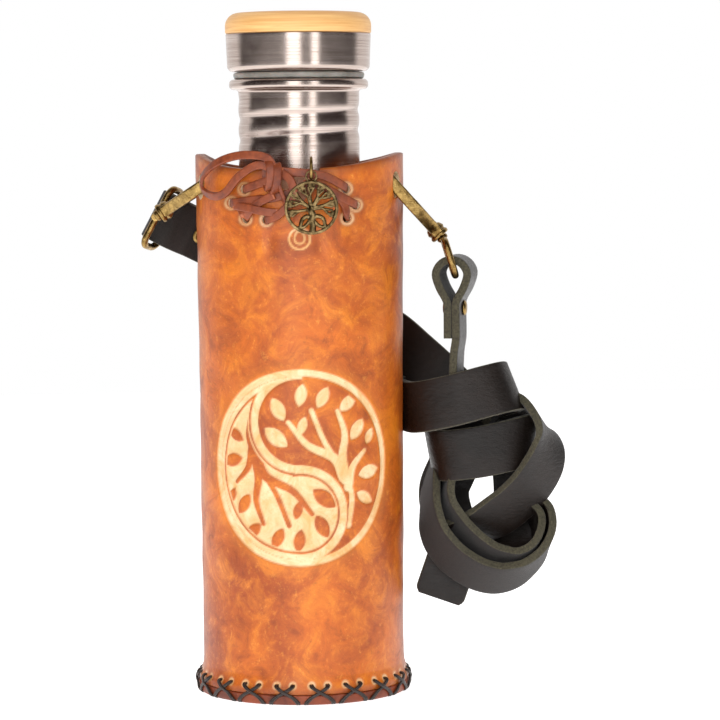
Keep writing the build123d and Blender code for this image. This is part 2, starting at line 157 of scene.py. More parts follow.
def smooth_path(points, step, closed=False):
    """Evenly spaced points on a smooth curve through the given ones."""
    points = np.asarray(points, float)
    if closed:
        around = np.vstack([points[-1:], points, points[:2]])
    else:
        around = np.vstack([2 * points[0] - points[1], points, 2 * points[-1] - points[-2]])
    t = np.linspace(0.0, 1.0, 24, endpoint=False)[:, None]
    spans = []
    for k in range(len(around) - 3):
        a, b, c, d = around[k : k + 4]
        cubic = (-a + 3 * b - 3 * c + d) * t**3
        square = (2 * a - 5 * b + 4 * c - d) * t**2
        spans.append(0.5 * (2 * b + (c - a) * t + square + cubic))
    last = points[:1] if closed else points[-1:]
    even = evenly(np.vstack(spans + [last]), step)
    return even[:-1] if closed else even


def rounded(corners, closed=True, arc_step=14.0):
    """Outline through (x, y, radius) corners, each rounded to its radius. arc_step is in degrees."""
    corners = [np.array(c, float) for c in corners]
    outline = []
    for k, corner in enumerate(corners):
        if corner[2] <= 0 or (not closed and k in (0, len(corners) - 1)):
            outline.append(corner[:2])
            continue
        before = unit(corners[k - 1][:2] - corner[:2])
        after = unit(corners[(k + 1) % len(corners)][:2] - corner[:2])
        half = np.arccos(np.clip(before @ after, -1, 1)) / 2
        centre = corner[:2] + unit(before + after) * corner[2] / np.sin(half)
        start = corner[:2] + before * corner[2] / np.tan(half) - centre
        end = corner[:2] + after * corner[2] / np.tan(half) - centre
        turn = pi - 2 * half
        count = max(2, int(np.degrees(turn) / arc_step) + 1)
        for t in np.linspace(0, 1, count + 1):
            outline.append(centre + (np.sin((1 - t) * turn) * start + np.sin(t * turn) * end) / np.sin(turn))
    return np.array(outline)


def filled_in(outline, longest, closed=True):
    """The outline with extra points, so that no side is longer than the given length."""
    result = []
    count = len(outline) if closed else len(outline) - 1
    for k in range(count):
        start = outline[k]
        end = outline[(k + 1) % len(outline)]
        parts = max(1, int(np.ceil(np.linalg.norm(end - start) / longest)))
        result.extend(start + (end - start) * i / parts for i in range(parts))
    if not closed:
        result.append(outline[-1])
    return np.array(result)


def circle_section(r, count=16):
    """Round section."""
    angles = np.linspace(0, 2 * pi, count, endpoint=False)
    return np.stack([r * np.cos(angles), r * np.sin(angles)], axis=1)


def box_section(width, thickness, corner, longest=3.0):
    """Rounded rectangle section: the width along the first axis."""
    w = width / 2
    t = thickness / 2
    corners = [(-w, -t, corner), (w, -t, corner), (w, t, corner), (-w, t, corner)]
    return filled_in(rounded(corners, arc_step=30.0), longest)


# Meshes


def grid_faces(rows, columns, close_rows, close_columns, first=0):
    """Quads between neighbouring points of a grid."""
    row_count = rows if close_rows else rows - 1
    column_count = columns if close_columns else columns - 1
    i, j = np.meshgrid(np.arange(row_count), np.arange(column_count), indexing="ij")
    i_next = (i + 1) % rows
    j_next = (j + 1) % columns
    quads = [i * columns + j, i * columns + j_next, i_next * columns + j_next, i_next * columns + j]
    return (np.stack(quads, axis=-1).reshape(-1, 4) + first).tolist()


class Shape:
    """Points and faces gathered for one mesh."""

    def __init__(self):
        self.points = []
        self.faces = []
        self.face_materials = []
        self.count = 0

    def add(self, points, faces, face_materials=0):
        """Add points and their faces, with one material number for all or one for each face."""
        points = np.asarray(points, float).reshape(-1, 3)
        self.points.append(points)
        self.faces.extend([[index + self.count for index in face] for face in faces])
        if np.ndim(face_materials) == 0:
            face_materials = [face_materials] * len(faces)
        self.face_materials.extend(face_materials)
        self.count += len(points)

    def sweep(self, path, across, section, closed=False, scale=None, edge_material=0, back_material=0):
        """Carry a section along a path: its first axis along across, its second along the normal."""
        path = np.asarray(path, float)
        across = np.broadcast_to(np.asarray(across, float), path.shape)
        if closed:
            tangent = unit(np.roll(path, -1, axis=0) - np.roll(path, 1, axis=0))
        else:
            tangent = unit(np.gradient(path, axis=0))
        side = unit(across - np.sum(across * tangent, axis=1, keepdims=True) * tangent)
        normal = np.cross(tangent, side)
        size = np.ones(len(path)) if scale is None else np.asarray(scale, float)
        a = section[None, :, 0:1] * size[:, None, None]
        b = section[None, :, 1:2] * size[:, None, None]
        rings = path[:, None, :] + a * side[:, None, :] + b * normal[:, None, :]
        rows = len(path)
        columns = len(section)
        faces = grid_faces(rows, columns, closed, True)
        mid_b = (section[:, 1] + np.roll(section[:, 1], -1)) / 2
        reach = np.abs(section[:, 1]).max()
        back_or_edge = np.where(mid_b < -0.97 * reach, back_material, edge_material)
        numbers = np.where(mid_b > 0.97 * reach, 0, back_or_edge)
        materials = np.tile(numbers, rows if closed else rows - 1).tolist()
        if not closed:
            faces.append(list(range(columns)))
            faces.append([(rows - 1) * columns + k for k in range(columns)])
            materials += [edge_material, edge_material]
        self.add(rings, faces, materials)

    def revolve(self, profile, segments, closed=True, place=None):
        """Turn an outline of (radius, height) about Z. An open outline starts and ends on the axis."""
        angles = np.linspace(0, 2 * pi, segments, endpoint=False)
        profile = np.asarray(profile, float)
        ring = profile if closed else profile[1:-1]
        x = ring[:, 0:1] * np.sin(angles)
        y = -ring[:, 0:1] * np.cos(angles)
        z = np.broadcast_to(ring[:, 1:2], x.shape)
        points = np.stack([x, y, z], axis=-1).reshape(-1, 3)
        faces = grid_faces(len(ring), segments, closed, True)
        if not closed:
            ends = [(0, len(points)), (len(ring) - 1, len(points) + 1)]
            points = np.vstack([points, [0, 0, profile[0, 1]], [0, 0, profile[-1, 1]]])
            for row, pole in ends:
                first = row * segments
                faces += [[first + k, first + (k + 1) % segments, pole] for k in range(segments)]
        self.add(points if place is None else place(points), faces)

    def lathe(self, corners, arc_step, longest, segments, closed=True, place=None):
        """Revolve an outline of (radius, height, corner radius), with no side over the longest."""
        profile = filled_in(rounded(corners, closed, arc_step), longest, closed)
        self.revolve(profile, segments, closed, place)

    def make(self, name, materials, sharp_angle=55.0):
        """Make the Blender object."""
        mesh = bpy.data.meshes.new(name)
        mesh.from_pydata((np.vstack(self.points) * MM).tolist(), [], self.faces)
        for material in materials:
            mesh.materials.append(material)
        mesh.polygons.foreach_set("material_index", self.face_materials)
        bm = bmesh.new()
        bm.from_mesh(mesh)
        bmesh.ops.recalc_face_normals(bm, faces=bm.faces)
        bm.to_mesh(mesh)
        bm.free()
        finish_mesh(mesh, sharp_angle)
        obj = bpy.data.objects.new(name, mesh)
        bpy.context.scene.collection.objects.link(obj)
        return obj


def finish_mesh(mesh, sharp_angle):
    """Smooth shading, with sharp edges only where faces meet at more than the angle."""
    mesh.polygons.foreach_set("use_smooth", [True] * len(mesh.polygons))
    mesh.update()
    mesh.set_sharp_from_angle(angle=radians(sharp_angle))


def modified(obj, sharp_angle=55.0):
    """Apply the object's modifiers to its mesh."""
    bpy.context.view_layer.update()
    evaluated = obj.evaluated_get(bpy.context.evaluated_depsgraph_get())
    mesh = bpy.data.meshes.new_from_object(evaluated)
    obj.modifiers.clear()
    obj.data = mesh
    finish_mesh(mesh, sharp_angle)
    return obj


def vertex_points(obj):
    """The mesh's points, in millimetres."""
    co = np.zeros(len(obj.data.vertices) * 3, np.float32)
    obj.data.vertices.foreach_get("co", co)
    return co.reshape(-1, 3) / MM


def set_attribute(obj, name, values):
    """A number for each point of the mesh, which the material reads."""
    attribute = obj.data.attributes.new(name, "FLOAT", "POINT")
    attribute.data.foreach_set("value", np.asarray(values, np.float32))


def piece(obj, body, slot, *nodes):
    """The piece rides on a body and stands for CAD nodes; the slot is not used."""
    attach(obj, body)
    if nodes:
        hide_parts(*nodes)
    return obj


# Materials


def srgb(red, green, blue):
    """A colour from 0-255 display values."""
    channels = [c / 255 for c in (red, green, blue)]
    return (*[c / 12.92 if c <= 0.04045 else ((c + 0.055) / 1.055) ** 2.4 for c in channels], 1.0)


class Finish:
    """A material and short ways to add nodes to it."""

    def __init__(self, name):
        self.material = bpy.data.materials.new(name)
        self.material.use_nodes = True
        self.tree = self.material.node_tree
        self.shader = self.tree.nodes["Principled BSDF"]
        self.coords = self.tree.nodes.new("ShaderNodeTexCoord").outputs["Object"]

    def link(self, source, target):
        self.tree.links.new(source, target)

    def set(self, **values):
        """Set the shader's own sockets, with underscores for spaces."""
        for name, value in values.items():
            self.shader.inputs[name.replace("_", " ")].default_value = value

    def stretched(self, x, y, z, turn=(0, 0, 0)):
        """Coordinates scaled by a number along each axis."""
        mapping = self.tree.nodes.new("ShaderNodeMapping")
        mapping.inputs["Scale"].default_value = (x, y, z)
        mapping.inputs["Rotation"].default_value = turn
        self.link(self.coords, mapping.inputs["Vector"])
        return mapping.outputs["Vector"]

    def noise(self, scale, detail=4.0, roughness=0.55, distortion=0.0, vector=None):
        """Noise, with the scale in features per metre."""
        noise = self.tree.nodes.new("ShaderNodeTexNoise")
        noise.inputs["Scale"].default_value = scale
        noise.inputs["Detail"].default_value = detail
        noise.inputs["Roughness"].default_value = roughness
        noise.inputs["Distortion"].default_value = distortion
        self.link(vector or self.coords, noise.inputs["Vector"])
        return noise.outputs["Fac"]

    def cells(self, scale, feature="F1"):
        """Cell texture's distance, with the scale in cells per metre."""
        cells = self.tree.nodes.new("ShaderNodeTexVoronoi")
        cells.feature = feature
        cells.inputs["Scale"].default_value = scale
        self.link(self.coords, cells.inputs["Vector"])
        return cells.outputs["Distance"]

    def attribute(self, name):
        """A number stored on the mesh."""
        node = self.tree.nodes.new("ShaderNodeAttribute")
        node.attribute_name = name
        return node.outputs["Fac"]

    def span(self, value, low, high, to_low=0.0, to_high=1.0):
        """The value's range from low to high, taken to another range."""
        node = self.tree.nodes.new("ShaderNodeMapRange")
        node.inputs["From Min"].default_value = low
        node.inputs["From Max"].default_value = high
        node.inputs["To Min"].default_value = to_low
        node.inputs["To Max"].default_value = to_high
        self.link(value, node.inputs["Value"])
        return node.outputs["Result"]

    def math(self, operation, first, second):
        """One sum of two values, either of which may be a number."""
        node = self.tree.nodes.new("ShaderNodeMath")
        node.operation = operation
        for socket, value in zip(node.inputs, (first, second)):
            if isinstance(value, (int, float)):
                socket.default_value = value
            else:
                self.link(value, socket)
        return node.outputs["Value"]

    def mixed(self, factor, first, second, blend="MIX"):
        """Two colours mixed by a factor."""
        node = self.tree.nodes.new("ShaderNodeMix")
        node.data_type = "RGBA"
        node.blend_type = blend
        sockets = [node.inputs[0], node.inputs[6], node.inputs[7]]
        for socket, value in zip(sockets, (factor, first, second)):
            if isinstance(value, (tuple, int, float)):
                socket.default_value = value
            else:
                self.link(value, socket)
        return node.outputs[2]

    def colour(self, value):
        self.link(value, self.shader.inputs["Base Color"])

    def roughness(self, value):
        self.link(value, self.shader.inputs["Roughness"])

    def bump(self, height, distance, strength=1.0):
        """Bump from a height, with its depth in metres. Each call lies on the one before."""
        node = self.tree.nodes.new("ShaderNodeBump")
        node.inputs["Distance"].default_value = distance
        node.inputs["Strength"].default_value = strength
        self.link(height, node.inputs["Height"])
        before = self.shader.inputs["Normal"].links
        if before:
            self.link(before[0].from_socket, node.inputs["Normal"])
        self.link(node.outputs["Normal"], self.shader.inputs["Normal"])


def sleeve_leather():
    """Hand-dyed tan leather: mottled, speckled and burnished, with cream carving and painted shade on its
    left and right sides.
    """
    f = Finish("sleeve_leather")
    clouds = f.noise(24, detail=6, roughness=0.62, distortion=0.5)
    blotches = f.noise(75, detail=7, roughness=0.68, distortion=0.8)
    speckle = f.noise(430, detail=6, roughness=0.75)
    scuffs = f.noise(1, detail=5, roughness=0.75, vector=f.stretched(300, 300, 170, (0.5, 0.2, 0.0)))
    colour = f.mixed(f.span(clouds, 0.36, 0.66), srgb(158, 68, 8), srgb(208, 104, 16))
    colour = f.mixed(f.span(blotches, 0.48, 0.66, 0, 0.8), colour, srgb(224, 128, 24))
    colour = f.mixed(f.span(blotches, 0.46, 0.26, 0, 0.8), colour, srgb(116, 44, 8))
    colour = f.mixed(f.span(speckle, 0.56, 0.74, 0, 0.5), colour, srgb(242, 160, 58))
    colour = f.mixed(f.span(speckle, 0.44, 0.28, 0, 0.4), colour, srgb(108, 44, 10))
    colour = f.mixed(f.span(scuffs, 0.60, 0.76, 0, 0.5), colour, srgb(244, 168, 66))
    colour = f.mixed(f.math("MULTIPLY", f.attribute("halo"), 0.3), colour, srgb(236, 144, 44))
    # Darker burnished edges at the mouth, hem and seam, darker leather round the lace holes, and painted
    # shade darkening the sleeve's left and right sides
    colour = f.mixed(f.math("MULTIPLY", f.attribute("burnish_and_side_shade"), 0.85), colour, srgb(90, 34, 10))
    warm = f.mixed(f.span(blotches, 0.35, 0.7), srgb(222, 142, 54), srgb(244, 188, 104))
    colour = f.mixed(f.attribute("glow"), colour, warm)
    cream = f.mixed(f.span(blotches, 0.36, 0.66), srgb(226, 172, 104), srgb(247, 220, 176))
    cream = f.mixed(f.span(speckle, 0.44, 0.30, 0, 0.5), cream, srgb(206, 140, 74))
    colour = f.mixed(f.attribute("cream"), colour, cream)
    f.colour(colour)
    f.roughness(f.span(blotches, 0.3, 0.7, 0.50, 0.36))
    f.set(Specular_IOR_Level=0.5, Coat_Weight=0.12, Coat_Roughness=0.32)
    f.bump(blotches, 0.0008, 0.35)
    f.bump(f.noise(420, detail=6, roughness=0.7), 0.0002, 0.55)
    f.bump(f.cells(1500), 0.00006, 0.5)
    return f.material


def pale_cut_leather():
    """Undyed leather inside the lace holes."""
    f = Finish("pale_cut_leather")
    fibres = f.noise(1500, detail=5, roughness=0.7)
    f.colour(f.mixed(f.span(fibres, 0.3, 0.7), srgb(232, 196, 142), srgb(253, 238, 208)))
    f.set(Roughness=0.62)
    f.bump(fibres, 0.0001, 0.6)
    return f.material


def base_leather():
    """Darker red-brown sole leather, burnished at its edge."""
    f = Finish("base_leather")
    clouds = f.noise(60, detail=6, roughness=0.65, distortion=0.6)
    fibres = f.noise(1, detail=5, roughness=0.7, vector=f.stretched(500, 500, 2600))
    colour = f.mixed(f.span(clouds, 0.35, 0.68), srgb(84, 32, 15), srgb(150, 66, 28))
    colour = f.mixed(f.span(fibres, 0.55, 0.75, 0, 0.4), colour, srgb(188, 108, 58))
    f.colour(colour)
    f.roughness(f.span(fibres, 0.3, 0.7, 0.40, 0.58))
    f.set(Coat_Weight=0.1, Coat_Roughness=0.3)
    f.bump(fibres, 0.00012, 0.5)
    return f.material


def tongue_leather():
    """Pinkish tan lining leather with a soft nap."""
    f = Finish("tongue_leather")
    clouds = f.noise(160, detail=6, roughness=0.7)
    nap = f.noise(2200, detail=3, roughness=0.7)
    f.colour(f.mixed(f.span(clouds, 0.35, 0.7), srgb(168, 108, 82), srgb(216, 168, 138)))
    f.set(Roughness=0.78, Sheen_Weight=0.35, Sheen_Roughness=0.4)
    f.bump(nap, 0.0001, 0.5)
    return f.material


def lace_leather():
    """Flat reddish thong, paler and rougher along its cut edges."""
    f = Finish("lace_leather")
    clouds = f.noise(220, detail=6, roughness=0.65)
    fibres = f.noise(1500, detail=4, roughness=0.7)
    colour = f.mixed(f.span(clouds, 0.35, 0.68), srgb(100, 40, 16), srgb(148, 70, 30))
    colour = f.mixed(f.span(fibres, 0.58, 0.78, 0, 0.4), colour, srgb(176, 92, 54))
    colour = f.mixed(f.span(f.attribute("edge"), 0.72, 1.0, 0, 0.6), colour, srgb(182, 102, 62))
    f.colour(colour)
    f.roughness(f.span(clouds, 0.3, 0.7, 0.40, 0.55))
    f.set(Coat_Weight=0.12, Coat_Roughness=0.35)
    f.bump(fibres, 0.0001, 0.5)
    return f.material


def waxed_cord():
    """Dark brown waxed cord."""
    f = Finish("waxed_cord")
    twist = f.noise(1, detail=3, roughness=0.6, vector=f.stretched(1400, 1400, 3200, (0.6, 0.0, 0.4)))
    f.colour(f.mixed(f.span(twist, 0.35, 0.7), srgb(20, 15, 13), srgb(58, 46, 40)))
    f.set(Roughness=0.48, Coat_Weight=0.2, Coat_Roughness=0.35)
    f.bump(twist, 0.0002, 0.7)
    return f.material


def strap_face():
    """Smooth black strap leather with a faint brown cast and fine creases."""
    f = Finish("strap_face")
    clouds = f.noise(45, detail=5, roughness=0.6)
    creases = f.noise(1, detail=6, roughness=0.65, vector=f.stretched(380, 380, 900, (0.2, 0.3, 0)))
    f.colour(f.mixed(f.span(clouds, 0.35, 0.7), srgb(19, 14, 11), srgb(34, 26, 22)))
    f.roughness(f.span(creases, 0.3, 0.7, 0.34, 0.5))
    f.set(Specular_IOR_Level=0.34, Coat_Weight=0.08, Coat_Roughness=0.36)
    f.bump(creases, 0.0006, 0.6)
    f.bump(f.cells(2100), 0.00005, 0.5)
    return f.material


def strap_edge():
    """Cut edge of the strap: olive-grey fibres."""
    f = Finish("strap_edge")
    fibres = f.noise(1100, detail=6, roughness=0.75)
    clouds = f.noise(120, detail=4, roughness=0.6)
    colour = f.mixed(f.span(fibres, 0.34, 0.7), srgb(32, 30, 22), srgb(88, 83, 62))
    f.colour(f.mixed(f.span(clouds, 0.4, 0.65, 0, 0.4), colour, srgb(66, 62, 48)))
    f.set(Roughness=0.85, Sheen_Weight=0.15, Sheen_Roughness=0.5)
    f.bump(fibres, 0.0003, 0.7)
    return f.material


def strap_flesh():
    """Back of the strap: black, with a short nap."""
    f = Finish("strap_flesh")
    nap = f.noise(1500, detail=5, roughness=0.75)
    f.colour(f.mixed(f.span(nap, 0.35, 0.7), srgb(20, 17, 16), srgb(44, 39, 36)))
    f.set(Roughness=0.8, Sheen_Weight=0.1, Sheen_Roughness=0.5)
    f.bump(nap, 0.0002, 0.6)
    return f.material


def brushed_steel(name, lines_per_metre):
    """Steel turned on a lathe, with fine lines round its axis."""
    f = Finish(name)
    lines = f.noise(1, detail=3, roughness=0.7, vector=f.stretched(22, 22, lines_per_metre))
    smudges = f.noise(60, detail=4, roughness=0.6)
    f.colour(f.mixed(f.span(lines, 0.3, 0.7), srgb(176, 158, 148), srgb(214, 200, 192)))
    f.roughness(f.span(smudges, 0.35, 0.7, 0.21, 0.29))
    f.set(Metallic=1.0, Anisotropic=0.55, Anisotropic_Rotation=0.25)
    tangent = f.tree.nodes.new("ShaderNodeTangent")
    tangent.direction_type = "RADIAL"
    tangent.axis = "Z"
    f.link(tangent.outputs["Tangent"], f.shader.inputs["Tangent"])
    f.bump(lines, 0.00003, 0.35)
    return f.material


def bamboo():
    """Oiled laminated bamboo with fine level streaks."""
    f = Finish("bamboo")
    streaks = f.noise(1, detail=5, roughness=0.6, vector=f.stretched(26, 60, 1500))
    fibres = f.noise(1, detail=4, roughness=0.7, vector=f.stretched(90, 700, 2600))
    colour = f.mixed(f.span(streaks, 0.34, 0.68), srgb(222, 162, 92), srgb(242, 196, 130))
    colour = f.mixed(f.span(fibres, 0.58, 0.8, 0, 0.35), colour, srgb(186, 118, 60))
    f.colour(colour)
    f.roughness(f.span(streaks, 0.3, 0.7, 0.42, 0.55))
    f.set(Coat_Weight=0.15, Coat_Roughness=0.35)
    f.bump(fibres, 0.00006, 0.5)
    return f.material


def silicone():
    """Cloudy grey seal."""
    f = Finish("silicone")
    haze = f.noise(140, detail=3)
    f.colour(f.mixed(f.span(haze, 0.35, 0.7), srgb(112, 107, 100), srgb(152, 146, 138)))
    f.set(Roughness=0.38, Subsurface_Weight=0.3, Subsurface_Scale=0.002, Specular_IOR_Level=0.45)
    f.bump(haze, 0.0002, 0.3)
    return f.material


def plug_plastic():
    """Moulded dark plastic of the plug."""
    f = Finish("plug_plastic")
    grain = f.noise(1600, detail=3)
    f.colour(f.mixed(f.span(grain, 0.3, 0.7), srgb(40, 40, 42), srgb(62, 62, 64)))
    f.roughness(f.span(grain, 0.3, 0.7, 0.42, 0.55))
    f.bump(grain, 0.00004, 0.4)
    return f.material


def antique_brass(name, dark, light, wear):
    """Old brass: brown tarnish, with brighter metal where it is rubbed."""
    f = Finish(name)
    tarnish = f.noise(420, detail=6, roughness=0.7, distortion=0.4)
    scratches = f.noise(1, detail=5, roughness=0.7, vector=f.stretched(300, 300, 3600, (0.3, 0.9, 0)))
    colour = f.mixed(f.span(tarnish, 0.36, 0.66), dark, light)
    colour = f.mixed(f.span(scratches, 0.56, 0.74, 0, wear), colour, srgb(236, 208, 140))
    f.colour(colour)
    f.roughness(f.span(scratches, 0.3, 0.7, 0.42, 0.24))
    f.set(Metallic=1.0)
    f.bump(scratches, 0.00006, 0.5)
    f.bump(tarnish, 0.0001, 0.35)
    return f.material


def pale_floor():
    """Plain white studio floor."""
    f = Finish("pale_floor")
    f.colour(f.mixed(f.span(f.noise(3), 0.3, 0.7), (0.90, 0.90, 0.90, 1), (0.93, 0.93, 0.93, 1)))
    f.set(Roughness=0.9, Specular_IOR_Level=0.1, Emission_Color=(1, 1, 1, 1), Emission_Strength=0.86)
    return f.material


leather_tan = sleeve_leather()
leather_pale = pale_cut_leather()
leather_base = base_leather()
leather_tongue = tongue_leather()
leather_lace = lace_leather()
cord_black = waxed_cord()
strap_materials = [strap_face(), strap_edge(), strap_flesh()]
steel_cap = brushed_steel("brushed_steel_cap", 3000)
steel_body = brushed_steel("brushed_steel_body", 2200)
bamboo_wood = bamboo()
seal_silicone = silicone()
plastic = plug_plastic()
brass = antique_brass("antique_brass", srgb(112, 88, 48), srgb(184, 152, 92), 0.5)
charm_brass = antique_brass("charm_brass", srgb(66, 52, 32), srgb(158, 134, 92), 0.35)


# Bottle and cap


def bottle():
    """Steel bottle with a rounded shoulder, a rolled thread and a rim bead."""
    low = node_low("bottle_body")[2]
    high = node_high("bottle_body")[2]
    body_r = node_high("bottle_body")[0]
    rim_r = 27.7
    neck_r = 24.1
    wall = 0.8
    thread_z = high - 20.2
    outer = [
        (0.0, low, 0),
        (body_r, low, 5.0),
        (body_r, high - 53.0, 9.0),
        (neck_r, high - 38.5, 5.0),
        (neck_r, high - 4.2, 1.2),
        (rim_r, high - 4.0, 1.7),
        (rim_r, high, 1.7),
        (neck_r - wall, high, 0.8),
    ]
    inner = [
        (neck_r - wall, high - 39.0, 5.0),
        (body_r - wall, high - 53.5, 8.2),
        (body_r - wall, low + wall, 4.2),
        (0.0, low + wall, 0),
    ]
    profile = filled_in(rounded(outer + inner, closed=False, arc_step=8.0), 0.7, closed=False)
    kept = (profile[:, 1] > high - 42.0) | (np.arange(len(profile)) % 3 == 0)
    kept[-1] = True
    profile = profile[kept]
    shape = Shape()
    shape.revolve(profile, 224, closed=False, place=lambda points: rolled_thread(points, neck_r, thread_z))
    return shape.make("steel_bottle", [steel_body])


def rolled_thread(points, neck_r, thread_z):
    """Press a helical groove with soft edges into the neck's wall."""
    depth = 0.62
    half_width = 2.3
    turns_shown = 2.05
    r = np.hypot(points[:, 0], points[:, 1])
    angle = np.arctan2(points[:, 1], points[:, 0]) / (2 * pi)
    along = (points[:, 2] - thread_z) / pitch - angle
    nearest = np.round(along)
    distance = (along - nearest) * pitch
    position = nearest + angle
    fade_in = smoothstep(-0.1, 0.25, position + 0.75)
    ends = fade_in * smoothstep(turns_shown - 0.35, turns_shown - 0.7, position)
    groove = np.exp(-((distance / half_width) ** 2) * 1.6)
    on_neck = (np.abs(r - neck_r) < 1.5) & (np.abs(points[:, 2] - thread_z - 1) < 18)
    return towards_axis(points, np.where(on_neck, depth * groove * ends, 0.0))


def cap_cup():
    """Steel cup of the cap, with a rounded bottom edge and a hollow for the plug."""
    low = node_low("cap_shell")[2]
    high = node_high("cap_shell")[2]
    r = node_high("cap_shell")[0]
    outline = [
        (22.8, low, 0.3),
        (r - 0.6, low, 2.4),
        (r, high, 0.35),
        (r - 1.0, high, 0.3),
        (r - 1.4, low + 1.0, 1.6),
        (22.8, low + 1.0, 0.3),
    ]
    shape = Shape()
    shape.lathe(outline, 10.0, 1.2, 192)
    return shape.make("cap_cup", [steel_cap])


def cap_wood():
    """Bamboo disc with a rounded upper edge, a small lower bevel and its spigot."""
    low = node_high("cap_shell")[2] + 0.05
    high = node_high("cap_top_disc")[2]
    r = node_high("cap_shell")[0] + 0.25
    outline = [
        (0.0, low - 0.4, 0),
        (12.0, low - 0.4, 0.3),
        (12.0, low - 4.0, 0.3),
        (27.6, low - 4.0, 0.5),
        (27.6, low, 0.2),
        (r - 0.1, low, 0.7),
        (r, high, 5.2),
        (0.0, high + 0.1, 0),
    ]
    shape = Shape()
    shape.lathe(outline, 8.0, 1.5, 192, closed=False)
    return shape.make("cap_bamboo_disc", [bamboo_wood])


def seal_ring():
    """Soft seal, squeezed a little unevenly between cap and rim."""
    low, high = node_low("cap_gasket"), node_high("cap_gasket")
    outline = [
        (23.1, low[2], 0.3),
        (high[0], low[2], 0.8),
        (high[0] + 0.5, high[2], 0.9),
        (23.1, high[2], 0.3),
    ]

    def wavy(points):
        angle = np.arctan2(points[:, 1], points[:, 0])
        r = np.hypot(points[:, 0], points[:, 1])
        wave = 0.16 * np.sin(5 * angle + 0.7) + 0.10 * np.sin(11 * angle)
        return towards_axis(points, -wave * smoothstep(24.0, 25.5, r))

    shape = Shape()
    shape.lathe(outline, 15.0, 0.8, 192, place=wavy)
    return shape.make("cap_seal_ring", [seal_silicone])


piece(bottle(), "bottle", "steel", "bottle_body")
piece(cap_cup(), "cap", "steel", "cap_shell")
piece(cap_wood(), "cap", "bamboo", "cap_top_disc")
piece(seal_ring(), "cap_seal", "seal", "cap_gasket")


# Sleeve

wall_low_z = node_low("sleeve_wall")[2]
ear_top_z = node_high("sleeve_wall")[2]
mouth_z = ear_top_z - 5.7
sleeve_heights = [4.0, 6.5, 9.0, 11.0, 14.0, 36.0, 52.0, 140.0, 180.0, 198.0, 216.0]
sleeve_radii = [42.3, 42.2, 41.2, 40.6, 40.35, 40.3, 40.5, 40.8, 41.1, 41.4, 41.5]
front_r = 40.6
hem_r = 42.0
emblem_z = 93.0
emblem_r = 37.2
ring_half = 1.35
cord_r = 0.46
stitch_count = 19
stitch_top_z = 7.6
stitch_cross_z = 5.1
stitch_low_z = 1.5
stitch_spread = 3.2 / hem_r
stitch_low_spread = 5.4 / hem_r
left_lace_holes = [(-20.8, 201.5), (-26.0, 196.1), (-20.4, 190.0), (-12.2, 189.6)]
right_lace_holes = [(18.7, 201.3), (22.5, 195.0), (19.0, 190.0)]
lace_hole_r = 1.75
stamp_z = 182.2
stamp_x = 0.6


def sleeve_r(z):
    """Outer radius of the sleeve at a height."""
    return np.interp(z, sleeve_heights, sleeve_radii)


def mouth_height(x):
    """Height of the sleeve's mouth above a sideways place: it rises to the two ears."""
    power = np.where(x < 0, 5.0, 2.2)
    return mouth_z + (ear_top_z - mouth_z) * np.clip(np.abs(x) / 40.5, 0, 1) ** power


def lens(u, v, centre, length, width, turn):
    """Distance inside a leaf shape: positive inside, negative outside."""
    angle = radians(turn)
    x = (u - centre[0]) * cos(angle) + (v - centre[1]) * sin(angle)
    y = (v - centre[1]) * cos(angle) - (u - centre[0]) * sin(angle)
    half = length / 2
    offset = (half**2 - (width / 2) ** 2) / width
    r = offset + width / 2
    return r - np.maximum(np.hypot(x, y - offset), np.hypot(x, y + offset))


def stroke(u, v, points, start_width, end_width):
    """Distance inside a tapering brush stroke through a few points."""
    line = smooth_path([(*p, 0.0) for p in points], 0.8)
    inside = np.full(u.shape, -99.0)
    for k, (x, y, _) in enumerate(line):
        half = start_width + (end_width - start_width) * k / (len(line) - 1)
        inside = np.maximum(inside, half - np.hypot(u - x, v - y))
    return inside


def sprig(u, v):
    """A leafy branch for one half of the emblem: distance inside it."""
    shapes = [
        stroke(u, v, [(19.5, -23.0), (21.0, -11.0), (15.5, 0.5), (9.5, 10.5), (4.5, 22.5)], 1.2, 1.0),
        stroke(u, v, [(17.5, -4.0), (13.6, 3.5), (3.0, 9.0), (-4.5, 18.0)], 2.2, 0.9),
        stroke(u, v, [(18.5, -5.0), (17.0, 4.0), (18.0, 13.0), (15.0, 22.0)], 2.2, 0.9),
        stroke(u, v, [(19.5, -8.0), (21.5, 0.0), (27.0, 6.0)], 1.9, 0.8),
    ]
    leaves = [
        ((-9.5, 12.0), 11.5, 6.0, -38),
        ((-8.5, 23.0), 10.0, 5.4, -62),
        ((0.5, 28.5), 9.0, 4.6, 80),
        ((9.0, 27.5), 9.0, 4.6, 62),
        ((1.0, 16.5), 7.5, 3.6, 74),
        ((19.5, 25.0), 9.0, 4.8, 40),
        ((23.5, 14.5), 9.5, 5.0, 55),
        ((29.5, 11.5), 6.5, 3.6, 65),
        ((29.0, -2.5), 10.0, 5.2, 12),
        ((27.2, -12.5), 8.5, 4.4, -30),
    ]
    shapes += [lens(u, v, *leaf) for leaf in leaves]
    return np.maximum.reduce(shapes)


